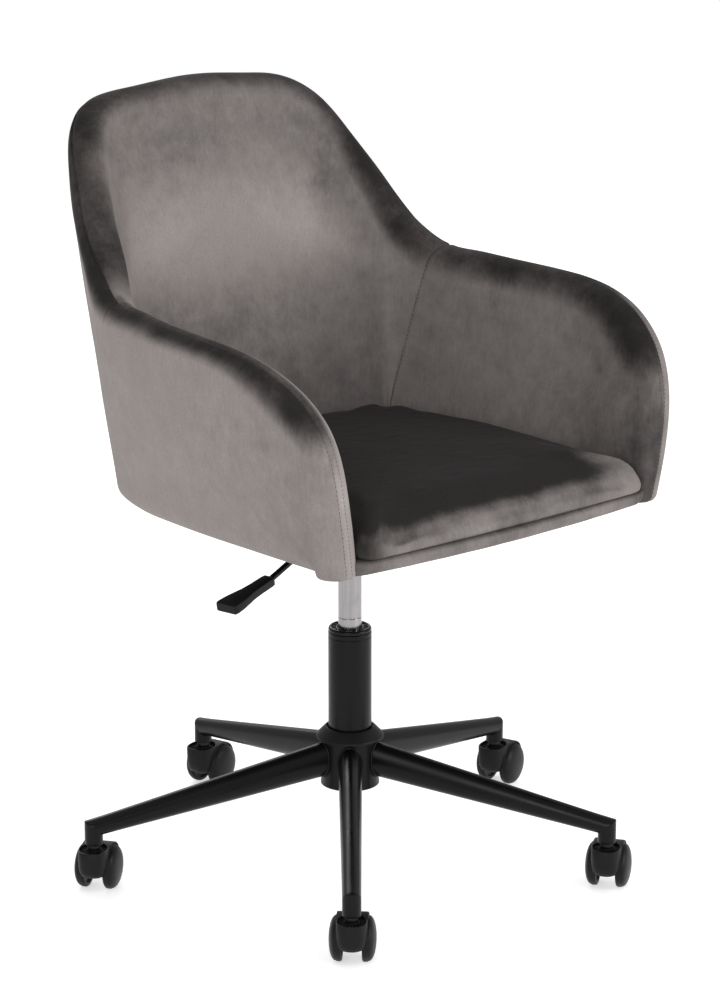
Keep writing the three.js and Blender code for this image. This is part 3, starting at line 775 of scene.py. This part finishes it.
def resample(outline, count):
    closed = np.vstack([outline, outline[:1]])
    run = running_length(closed)
    at = np.linspace(0, run[-1], count, endpoint=False)
    return np.stack([np.interp(at, run, closed[:, k]) for k in range(2)], 1)


def mirrored_outline(half):
    return rounded_outline(half + [(-x, y, r) for x, y, r in half[::-1]])


def cushion_shape():
    """Rings from the middle of the underside, round the rolled edge, to the middle of the top."""
    half = [(208, -260, 24), (204, -20, 60), (193, 80, 40), (181, 149, 46)]
    outline = resample(mirrored_outline(half), 280)
    outline[:, 1] -= 4 * smoothstep(205, 0, np.abs(outline[:, 0])) * smoothstep(-200, -252, outline[:, 1])
    centre = np.array([0.0, -55.0])
    ahead = unit(np.roll(outline, -1, 0) - np.roll(outline, 1, 0))
    inward = np.stack([-ahead[:, 1], ahead[:, 0]], 1)
    to_middle = np.sum((centre - outline) * inward, axis=1)
    bottom, widest, shoulder = RAIL_TOP + 0.8, RAIL_TOP + 7.5, CUSHION_TOP - 8
    # The front hangs down over the board, on to the rail.
    overhang = 8.8 * smoothstep(-222, -246, outline[:, 1])
    roll = 34.0 - 9.0 * smoothstep(-222, -246, outline[:, 1])
    tuck = 6.0
    rings = []
    for share in (0.1, 0.3, 0.5, 0.7, 0.85, 0.93):
        rings.append((share, bottom - overhang * smoothstep(0.86, 0.93, share)))
    for a in np.radians(np.linspace(0, 90, 6)[:-1]):
        share = 1 - tuck * (1 - math.sin(a)) / 190
        rings.append((share, widest - (widest - bottom) * math.cos(a) - overhang))
    for share in (1, 0.996, 0.988, 0.976, 0.96, 0.94, 0.915, 0.885, 0.85, 0.81, 0.76, 0.7, 0.63, 0.55,
                  0.46, 0.36, 0.25, 0.12):
        inside = np.clip((1 - share) * to_middle / roll, 0, 1)
        rise = np.sqrt(1 - (1 - inside) ** 2)
        crown = 8 * (1 - share ** 2)
        rings.append((share, widest - overhang * (1 - rise) + (shoulder - widest) * rise + crown))
    return loft([np.column_stack([centre + (outline - centre) * share, z]) for share, z in rings])


def settle(obj, pressure, cap_mm, voxel_mm, held_below):
    """Swells obj as cloth under pressure. Points below the height held_below, in mm, stay put."""
    scene = bpy.context.scene
    remesh = obj.modifiers.new("remesh", "REMESH")
    remesh.mode = "VOXEL"
    remesh.voxel_size = voxel_mm / MM_PER_M
    apply_modifiers(obj)
    group = obj.vertex_groups.new(name="held")
    held = [v.index for v in obj.data.vertices if v.co.z < held_below / MM_PER_M]
    group.add(held, 1.0, "REPLACE")
    start = np.array([v.co for v in obj.data.vertices])
    cloth = obj.modifiers.new("cloth", "CLOTH")
    weave = {"quality": 5, "mass": 0.25, "tension_stiffness": 18, "compression_stiffness": 18,
             "bending_stiffness": 0.8, "use_pressure": True, "uniform_pressure_force": pressure}
    for name, value in weave.items():
        setattr(cloth.settings, name, value)
    cloth.settings.effector_weights.gravity = 0
    cloth.settings.vertex_group_mass = "held"
    cloth.collision_settings.use_self_collision = False
    cloth.point_cache.frame_start = 1
    cloth.point_cache.frame_end = CLOTH_FRAMES
    for number in range(1, CLOTH_FRAMES + 1):
        scene.frame_set(number)
    apply_modifiers(obj)
    now = np.array([v.co for v in obj.data.vertices])
    move = now - start
    length = np.linalg.norm(move, axis=1, keepdims=True)
    cap = cap_mm / MM_PER_M
    move = move / np.maximum(length, 1e-9) * cap * np.tanh(length / cap)
    obj.data.vertices.foreach_set("co", (start + move).ravel())
    smooth = obj.modifiers.new("smooth", "SMOOTH")
    smooth.factor = 0.5
    smooth.iterations = 4
    finer = obj.modifiers.new("finer", "SUBSURF")
    finer.levels = 1
    finer.render_levels = 1
    apply_modifiers(obj)
    scene.frame_set(1)


def apply_modifiers(obj):
    bpy.context.view_layer.update()
    evaluated = obj.evaluated_get(bpy.context.evaluated_depsgraph_get())
    mesh = bpy.data.meshes.new_from_object(evaluated)
    obj.modifiers.clear()
    old = obj.data
    obj.data = mesh
    bpy.data.meshes.remove(old)
    mesh.polygons.foreach_set("use_smooth", [True] * len(mesh.polygons))


def vertex_arrays(obj):
    count = len(obj.data.vertices)
    place, normal = np.zeros(count * 3), np.zeros(count * 3)
    obj.data.vertices.foreach_get("co", place)
    obj.data.vertices.foreach_get("normal", normal)
    return place.reshape(-1, 3) * MM_PER_M - SHIFT, normal.reshape(-1, 3)


cushion = make_piece("seat_cushion_pad", cushion_shape(), "seat", VELVET, ["seat_cushion"])
settle(cushion, pressure=4.0, cap_mm=5.0, voxel_mm=5.0, held_below=RAIL_TOP + 3)
place, normal = vertex_arrays(cushion)
creases = 0.8 * undulation(place, 60, 5) + 0.35 * undulation(place * [1, 2.5, 1], 22, 6)
creases *= smoothstep(RAIL_TOP + 2, RAIL_TOP + 18, place[:, 2])
place = place + normal * creases[:, None]
cushion.data.vertices.foreach_set("co", ((place + SHIFT) / MM_PER_M).ravel())
cushion.data.update()
# Faces turned up are darkest: painted shade on the top of the cushion.
up = smoothstep(0.35, 0.97, normal[:, 2])
across, forward = place[:, 0], -place[:, 1]
front_zone = smoothstep(150, 205, forward)
patches = 0.16 * undulation(place, 70, 14) + 0.07 * undulation(place, 24, 12)
brushed_and_shaded = 0.46 + up * 0.64 + front_zone * patches
# Lighter over the front of the top on the sitter's left: painted light.
brushed_and_shaded -= 0.55 * smoothstep(105, 180, across) * smoothstep(175, 222, forward) * up
# Darker in the front corner by the sitter's right arm: painted shade.
brushed_and_shaded += 0.45 * front_zone * smoothstep(-165, -208, across)
store_nap_and_shade(cushion, np.clip(brushed_and_shaded, 0, 1.1))


# ---------- front rail and under cover

COVER_THICKNESS = 0.9


def rail_shape():
    """A padded strip under the front of the cushion, bowed forwards in the middle."""
    rings = []
    straight_half, half_length = 206, 218
    tips = np.array([half_length, 217.3, 215.8, 213.5, 210.5])
    depth, top, bottom = 42.0, RAIL_TOP - 6.4, FLOOR_OF_SEAT + 0.3
    for x in np.concatenate([-tips, np.linspace(-straight_half, straight_half, 92), tips[::-1]]):
        front = 12 * (abs(x) / straight_half) ** 2 + 9 * smoothstep(192, half_length, abs(x)) ** 2 - 266
        end = 1 - 0.3 * (1 - math.sqrt(1 - smoothstep(209, half_length, abs(x)) ** 2))
        profile = [(front, top - 7), (front + 1.6, top - 1.6), (front + 7, top), (front + depth, top),
                   (front + depth, bottom), (front + 15, bottom), (front + 7, bottom + 1.6),
                   (front + 1.5, bottom + 7)]
        middle = np.mean(profile, axis=0)
        ring = soften([middle + (np.array(p) - middle) * end for p in profile], 4, closed=True, steps=2)
        rings.append([(x, y, z) for y, z in ring])
    return loft(rings)


points, faces = rail_shape()
bulge = 0.7 * undulation(points, 34, 8) + 0.3 * undulation(points, 13, 9)
points[:, 1] -= bulge * smoothstep(-240, -255, points[:, 1])
rail = make_piece("front_rail_pad", (points, faces), "seat", VELVET, ["front_rail"])
place, normal = vertex_arrays(rail)
# The rail is set darker all over and most along its top edge: painted shade under the cushion's front roll.
# It is also darker towards the tips.
top_edge_shade = smoothstep(0.45, 0.95, normal[:, 2])
towards_tips = smoothstep(150, 213, np.abs(place[:, 0]))
store_nap_and_shade(rail, np.clip(0.46 + 0.15 * top_edge_shade + towards_tips * 0.25, 0, 1))


def under_cover_shape():
    """Thin black cloth stapled inside the lower edge, sagging slightly between the staples."""
    half = [(203, -236, 16), (200, 90, 26), (186, 140, 34)]
    outline = resample(mirrored_outline(half), 200)
    rings = []
    shares = (0.02, 0.25, 0.5, 0.75, 0.92, 1.0)
    for rise, steps in ((0, shares), (COVER_THICKNESS, shares[::-1])):
        for share in steps:
            sag = 0.5 * (1 - share ** 2)
            z = np.full(len(outline), FLOOR_OF_SEAT - 1.3 - sag + rise)
            rings.append(np.column_stack([outline * share, z]))
    return loft(rings), outline


cover_shape, cover_outline = under_cover_shape()
cover = make_piece("under_cover", cover_shape, "seat", LINING, ["dust_cover"])


# ---------- base: hub, collar, legs

LEG_RISE = math.atan2(HUB_LEG_Z - END_LEG_Z, STEM_CIRCLE - HUB_RADIUS)


def hub_radius(z):
    share = np.clip((z - HUB_BOTTOM) / (HUB_TOP - 8 - HUB_BOTTOM), 0, 1)
    return HUB_RADIUS + (HUB_WAIST - HUB_RADIUS) * np.sqrt(share)


def turned_piece(name, node, profile, rounding, segments, body, look):
    """A piece turned about the column. A profile that starts off the axis closes on itself."""
    closed = profile[0][0] > 0
    shape = turned(soften(profile, rounding, closed), segments, closed)
    make_piece(name, shape, body, look, [node], sharp_angle=50)


hub_side = [(hub_radius(z), z) for z in np.linspace(HUB_BOTTOM + 1, HUB_TOP, 14)]
turned_piece("hub_shell", "base_hub", [
    (24.8, HUB_BOTTOM + 1), (26, HUB_BOTTOM), (HUB_RADIUS - 0.5, HUB_BOTTOM), *hub_side, (24.8, HUB_TOP),
], 0.8, 72, "base", PAINT)

turned_piece("collar_cone", "hub_collar", [
    (24.9, HUB_TOP + 0.3), (37.6, HUB_TOP + 0.3), (38.2, HUB_TOP + 1.2), (38.0, HUB_TOP + 3.2),
    (29.0, COLLAR_TOP - 1.2), (27.6, COLLAR_TOP), (26.3, COLLAR_TOP - 0.3), (26.0, COLLAR_TOP - 2.6),
    (24.9, COLLAR_TOP - 2.6),
], 0.9, 72, "base", PLASTIC)


def leg_section(distance, angle):
    """A point of the leg's oval tube, distance out from the column along its centreline."""
    share = np.clip((distance - 26) / (STEM_CIRCLE - 34), 0, 1)
    half_width = LEG_HALF_WIDTH + (SOCKET_RADIUS - LEG_HALF_WIDTH) * share
    half_height = LEG_HALF_HEIGHT + (SOCKET_RADIUS - LEG_HALF_HEIGHT) * share
    axis_z = END_LEG_Z + (STEM_CIRCLE - distance) * math.tan(LEG_RISE)
    up = half_height * np.cos(angle)
    x, z = distance + up * math.sin(LEG_RISE), axis_z + up * math.cos(LEG_RISE)
    return np.stack([x, half_width * np.sin(angle), z], -1)


def leg_shape():
    angles = circle(40)
    start = 27.0
    # Each side of the tube ends on the mitre, which halves the bend down to the socket.
    tilt = (math.pi / 2 + LEG_RISE) / 2
    upper = SOCKET_RADIUS * np.cos(angles)
    mitre = STEM_CIRCLE + upper / math.tan(tilt) * 0.98 - upper * math.sin(LEG_RISE)
    rings = [leg_section(start + (mitre - start) * s, angles) for s in np.linspace(0, 0.985, 16)]
    elbow = leg_section(mitre, angles)

    def socket_ring(radius, z):
        z = np.broadcast_to(z, len(angles))
        return np.stack([STEM_CIRCLE + radius * np.cos(angles), radius * np.sin(angles), z], -1)

    top = socket_ring(SOCKET_RADIUS, elbow[:, 2])
    rings.append((elbow * 2 + top) / 3 - np.array([0.15, 0, 0]))
    for share in (0.0, 0.06, 0.2, 0.5, 0.8, 0.96):
        z = elbow[:, 2] + (SOCKET_BOTTOM - elbow[:, 2]) * share - (0.8 if share == 0 else 0)
        rings.append(socket_ring(SOCKET_RADIUS, z))
    mouth = ((SOCKET_RADIUS - 0.1, 0.5), (SOCKET_RADIUS - 0.6, 0), (6.4, 0), (6.0, 0.5), (6.0, 12))
    for radius, rise in mouth:
        rings.append(socket_ring(radius, SOCKET_BOTTOM + rise))
    return loft(rings)


def weld_shape():
    """The bead where a leg meets the hub."""
    path = []
    for angle in circle(64):
        reach = 30.0
        for _ in range(12):
            point = leg_section(np.array(reach), np.array(angle))
            reach += hub_radius(point[2]) + 0.4 - math.hypot(point[0], point[1])
        path.append(leg_section(np.array(reach), np.array(angle)))
    return tube_along(path, 1.5)


def leg_heading(leg):
    """Degrees from the x axis to a leg, counted from 1."""
    return FIRST_LEG + 360 / 5 * (leg - 1) - 90


leg_tube, leg_weld = leg_shape(), weld_shape()
for leg in range(1, 6):
    make_piece(f"leg_{leg}_tube", turn_shape(leg_tube, leg_heading(leg)), "base", PAINT,
               [f"leg_{leg}", f"socket_{leg}"], sharp_angle=38)
    make_piece(f"leg_{leg}_weld", turn_shape(leg_weld, leg_heading(leg)), "base", PAINT)


# ---------- gas lift

turned_piece("column_shell", "column_tube", [
    (20.5, 92), (COLUMN_RADIUS, 92), (COLUMN_RADIUS, COLUMN_TOP - 6.2),
    (COLUMN_RADIUS - 0.5, COLUMN_TOP - 5.9), (COLUMN_RADIUS - 0.5, COLUMN_TOP - 5.3),
    (COLUMN_RADIUS, COLUMN_TOP - 5.0), (COLUMN_RADIUS, COLUMN_TOP), (22.5, COLUMN_TOP),
    (22.5, 96), (20.5, 96),
], 0.6, 72, "base", PAINT)

bush_profile = soften([
    (13.6, 192), (22.2, 192), (22.2, COLUMN_TOP + 0.3), (24.3, COLUMN_TOP + 0.4), (24.4, BUSH_TOP - 2.2),
    (22.9, BUSH_TOP), (20.8, BUSH_TOP - 0.2), (20.3, BUSH_TOP - 2.2), (16.4, BUSH_TOP - 2.2),
    (15.9, BUSH_TOP - 0.8), (14.4, BUSH_TOP - 0.8), (13.6, BUSH_TOP - 2),
], 0.8, closed=True)
bush_parts = [turned(bush_profile, 72, closed=True)]
rib = rounded_box((16.2, -0.8, BUSH_TOP - 4), (20.6, 0.8, BUSH_TOP - 0.9), 0.35)
bush_parts += [turn_shape(rib, number * 360 / BUSH_RIBS) for number in range(BUSH_RIBS)]
make_piece("bush_ring", merge(bush_parts), "base", BUSH, ["guide_bush"], sharp_angle=50)

turned_piece("lift_cylinder", "gas_cylinder", [
    (0, 186), (CYLINDER_RADIUS, 186), (CYLINDER_RADIUS, 291.6), (CYLINDER_RADIUS - 0.35, 291.9),
    (CYLINDER_RADIUS - 0.35, 292.5), (CYLINDER_RADIUS, 292.8), (CYLINDER_RADIUS, 359), (12.6, 398), (0, 398),
], 0.5, 64, "seat", CHROME)


# ---------- casters

def along_axle(shape, side):
    """A body turned about Z, turned about the caster's axle instead. side is 1 or -1."""
    points, faces = shape
    x, y, z = points.T
    return np.column_stack([x + TRAIL, z * side, y + WHEEL_RADIUS]), faces


def wheel_shape(side):
    profile = [(0, 15.5), (6.2, 15.5), (6.6, 11.4), (8.6, 11.4), (9.4, 13.8), (19.8, 13.8),
               (20.8, WHEEL_INNER), (23.6, WHEEL_INNER), (WHEEL_RADIUS, WHEEL_INNER + 1.3),
               (WHEEL_RADIUS, 16.0), (24.8, 16.9), (24.1, 17.1), (24.3, 17.9), (23.6, 19.4), (21.9, 21.1),
               (19.0, 22.7), (15, 24.0), (10, 24.9), (5, 25.35), (0, 25.5)]
    return along_axle(turned(soften(profile, 0.5, steps=2), 56), side)


def loose_object(shape):
    """A throwaway object in mm for boolean work."""
    obj = mesh_object("tool", *shape)
    finish_mesh(obj, None)
    return obj


def boolean(target, shape, operation="DIFFERENCE"):
    """Cuts a shape out of the target object, or joins it on."""
    tool = loose_object(shape)
    modifier = target.modifiers.new("cut", "BOOLEAN")
    modifier.operation = operation
    modifier.solver = "EXACT"
    modifier.object = tool
    apply_modifiers(target)
    bpy.data.objects.remove(tool)


def fuller_front(shape):
    """Widens a round cup at the front, where it stands clear of the wheels."""
    points, faces = shape
    points = points.copy()
    reach = np.hypot(points[:, 0], points[:, 1])
    ahead = np.clip(-points[:, 0] / np.maximum(reach, 1e-6), 0, 1)
    aside = np.sqrt(1 - ahead ** 2)
    wider = 1 / ((ahead / 1.25) ** 2.8 + aside ** 2.8) ** (1 / 2.8)
    wider = np.where(points[:, 0] < 0, wider, 1) - 1
    points[:, :2] *= (1 + wider * smoothstep(8.5, 14, reach))[:, None]
    return points, faces


def housing_shape():
    """Cup, web and hood of a caster, with room cut for its wheels, in the caster's own frame."""
    pivot_floor = CUP_BOTTOM + 12
    cup = [(0, CUP_NOSE), (6.5, CUP_NOSE + 0.3), (10.8, CUP_NOSE + 1.9), (13.6, CUP_NOSE + 4.6),
           (15.5, CUP_NOSE + 9), (16.3, CUP_NOSE + 15), (CUP_RADIUS, CUP_TOP - 1),
           (CUP_RADIUS - 0.4, CUP_TOP), (CUP_RADIUS - 1.4, CUP_TOP), (CUP_RADIUS - 1.9, CUP_TOP - 4.5),
           (8.4, CUP_TOP - 4.5), (8.0, CUP_TOP - 0.6), (6.0, CUP_TOP - 0.6),
           (6.0, pivot_floor), (0, pivot_floor)]
    body = loose_object(fuller_front(turned(cup, 56)))
    boolean(body, rounded_box((-1, -9.9, CUP_BOTTOM + 1.5), (TRAIL + 8, 9.9, CUP_TOP - 4.6), 3), "UNION")
    inner, outer = WHEEL_RADIUS + 0.9, WHEEL_RADIUS + 3.1
    rings = []
    for angle in np.radians(np.linspace(24, 150, 29)):
        thin = 1 - 0.75 * smoothstep(math.radians(50), math.radians(24), angle)
        far = inner + (outer - inner) * thin
        section = soften([(inner, -17), (far - 0.3, -17), (far, -15.5), (far, 15.5), (far - 0.3, 17),
                          (inner, 17)], 0.4, closed=True, steps=1)
        along, up = math.cos(angle), math.sin(angle)
        rings.append([(TRAIL + r * along, s, WHEEL_RADIUS + r * up) for r, s in section])
    boolean(body, loft(rings), "UNION")
    room = [(0, WHEEL_INNER - 0.6), (inner, WHEEL_INNER - 0.6), (inner, 40), (0, 40)]
    for side in (1, -1):
        boolean(body, along_axle(turned(room, 56), side))
    boolean(body, turned([(0, pivot_floor), (5.9, pivot_floor), (5.9, CUP_TOP + 8), (0, CUP_TOP + 8)], 24))
    dish = [(8.3, CUP_TOP - 4.4), (CUP_RADIUS - 2.0, CUP_TOP - 4.4), (CUP_RADIUS - 1.6, CUP_TOP + 9),
            (8.3, CUP_TOP + 9)]
    boolean(body, fuller_front(turned(dish, 56, closed=True)))
    points = np.array([v.co for v in body.data.vertices])
    faces = [list(p.vertices) for p in body.data.polygons]
    bpy.data.objects.remove(body)
    rib = rounded_box((7.9, -0.45, CUP_TOP - 5), (CUP_RADIUS - 1.2, 0.45, CUP_TOP - 2.2), 0.2, steps=1)
    pitch = 360 / CUP_RIBS
    ribs = [fuller_front(turn_shape(rib, (number + 0.5) * pitch)) for number in range(CUP_RIBS)]
    return merge([(points, faces), *ribs])


def stem_shape():
    profile = [(0, CUP_BOTTOM + 12.4), (5.4, CUP_BOTTOM + 12.4), (5.4, CUP_TOP + 0.3), (7.4, CUP_TOP + 0.3),
               (7.6, CUP_TOP + 1), (7.6, SOCKET_BOTTOM - 1), (7.3, SOCKET_BOTTOM - 0.4),
               (5.3, SOCKET_BOTTOM - 0.4), (5.3, 79), (0, 79.5)]
    return turned(soften(profile, 0.4, steps=2), 32)


housing, stem = housing_shape(), stem_shape()
wheels = {"left": wheel_shape(1), "right": wheel_shape(-1)}
for leg, turn in enumerate(CASTER_HEADINGS, 1):
    angle = math.radians(leg_heading(leg))
    stem_at = (STEM_CIRCLE * math.cos(angle), STEM_CIRCLE * math.sin(angle), 0)
    make_piece(f"caster_{leg}_body", turn_shape(housing, turn, stem_at), f"caster_{leg}",
               PLASTIC, [f"caster_housing_{leg}"], sharp_angle=35)
    make_piece(f"caster_{leg}_stem", turn_shape(stem, turn, stem_at), "base", DARK_STEEL,
               [f"caster_stem_{leg}"], sharp_angle=40)
    for side, wheel in wheels.items():
        make_piece(f"wheel_{leg}_{side}_disc", turn_shape(wheel, turn, stem_at), f"wheel_{leg}_{side}",
                   NYLON, [f"wheel_{leg}_{side}"], sharp_angle=40)


# ---------- height lever

def dropped(points, degrees):
    """Tips points about Y, so that +X falls by that many degrees."""
    a = math.radians(degrees)
    x, y, z = points.T
    return np.column_stack([x * math.cos(a) + z * math.sin(a), y, z * math.cos(a) - x * math.sin(a)])


def lever_rod_shape():
    scale = 1 / math.cos(math.radians(LEVER_DROP))
    start, end = -8 * scale, 160 * scale
    profile = soften([(0, start), (LEVER_RADIUS, start), (LEVER_RADIUS, end), (0, end)], 1.2)
    points, faces = turned(profile, 28)
    lying = points[:, ::-1]
    return dropped(lying, LEVER_DROP), faces


def paddle_shape():
    """A flared grip with a soft edge, thicker towards its free end."""
    stations = [(0, 6.2, 4.2), (1.5, 7.4, 5.0), (6, 7.8, 5.2), (24, 8.1, 5.2), (38, 9.2, 5.2),
                (50, 11.6, 5.3), (60, 13.2, 5.5), (70, 13.9, 5.6), (74.6, 13.6, 5.4), (76, 12.6, 4.6)]
    rings = []
    for x, wide, high in stations:
        outline = [(wide, -high), (wide, high), (-wide, high), (-wide, -high)]
        rings.append([(x, y, z) for y, z in soften(outline, min(2.2, high * 0.6), closed=True, steps=4)])
    points, faces = loft(rings)
    height = -PADDLE_START * math.tan(math.radians(LEVER_DROP))
    return dropped(points, PADDLE_DROP) + np.array([PADDLE_START, 0, height]), faces


for name, node, shape, slot, look in (
        ("lever_bar", "lever_rod", lever_rod_shape(), "gloss_black_paint", PAINT),
        ("lever_grip", "lever_paddle", paddle_shape(), "black_plastic", PLASTIC)):
    shape = turn_shape(shape, LEVER_HEADING, (0, 0, LEVER_Z))
    make_piece(name, shape, "lever", look, [node], sharp_angle=40)


# ---------- CAD nodes that stay

plated = ["thrust_bearing", "piston_clip", "piston_rod", "release_pin"]
plated += [f"bolt_{n}" for n in range(1, 5)]
plated += [f"caster_axle_{n}" for n in range(1, 6)]
for look, nodes in ((PAINT, ["mechanism_channel", "mount_plate"]), (PLYWOOD, ["seat_board"]), (ZINC, plated)):
    for node in nodes:
        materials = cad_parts[node].data.materials
        materials.clear()
        materials.append(look)


# ---------- floor, light, camera

CAMERA_PLACE = (-2.3555, -2.649, 1.408)   # metres, in the row frame, like the lights
CAMERA_TARGET = (-0.0121, -0.0326, 0.4272)
CAMERA_LENS = 118.3


def floor():
    n = Nodes("pale_floor")
    tone = n.mix(n.noise(3, 2), (0.78, 0.78, 0.78), (0.80, 0.80, 0.80))
    look = n.set({"Roughness": 0.9, "Specular IOR Level": 0.1, "Emission Color": (1, 1, 1, 1),
                  "Emission Strength": 0.52}, {"Base Color": tone})
    half = 14.0
    corners = np.array([(-half, -half, 0), (half, -half, 0), (half, half, 0), (-half, half, 0)])
    obj = mesh_object("floor", corners, [(0, 1, 2, 3)])
    obj.data.materials.append(look)


def aim(obj, place, target):
    obj.location = place
    obj.rotation_euler = (Vector(target) - Vector(place)).to_track_quat("-Z", "Y").to_euler()
    bpy.context.scene.collection.objects.link(obj)


def soft_light(name, place, target, size, power):
    light = bpy.data.lights.new(name, "AREA")
    light.shape = "RECTANGLE"
    light.size, light.size_y = size
    light.energy = power
    aim(bpy.data.objects.new(name, light), place, target)


floor()
MIDDLE = (0, 0, 0.5)
soft_light("key", (-2.9, -2.3, 1.7), MIDDLE, (2.2, 1.8), 48)
soft_light("fill", (1.7, -3.0, 1.3), MIDDLE, (1.6, 1.6), 58)
soft_light("back", (1.5, 2.8, 2.2), MIDDLE, (2.4, 1.4), 40)
soft_light("top", (0, 0, 3.2), MIDDLE, (2.5, 2.5), 8)

scene = bpy.context.scene
world = bpy.data.worlds.new("studio")
world.use_nodes = True
links = world.node_tree.links
light_dome = world.node_tree.nodes["Background"]
light_dome.inputs["Color"].default_value = (0.96, 0.965, 0.97, 1)
light_dome.inputs["Strength"].default_value = 0.62
white_wall = world.node_tree.nodes.new("ShaderNodeBackground")
white_wall.inputs["Color"].default_value = (1, 1, 1, 1)
choose = world.node_tree.nodes.new("ShaderNodeMixShader")
seen = world.node_tree.nodes.new("ShaderNodeLightPath")
sources = (seen.outputs["Is Camera Ray"], light_dome.outputs[0], white_wall.outputs[0])
for number, source in enumerate(sources):
    links.new(source, choose.inputs[number])
links.new(choose.outputs[0], world.node_tree.nodes["World Output"].inputs["Surface"])
scene.world = world
scene.view_settings.view_transform = "Standard"

camera_data = bpy.data.cameras.new("camera")
camera_data.sensor_fit = "VERTICAL"
camera_data.sensor_height = 36
camera_data.lens = CAMERA_LENS
camera = bpy.data.objects.new("camera", camera_data)
aim(camera, CAMERA_PLACE, CAMERA_TARGET)
scene.camera = camera
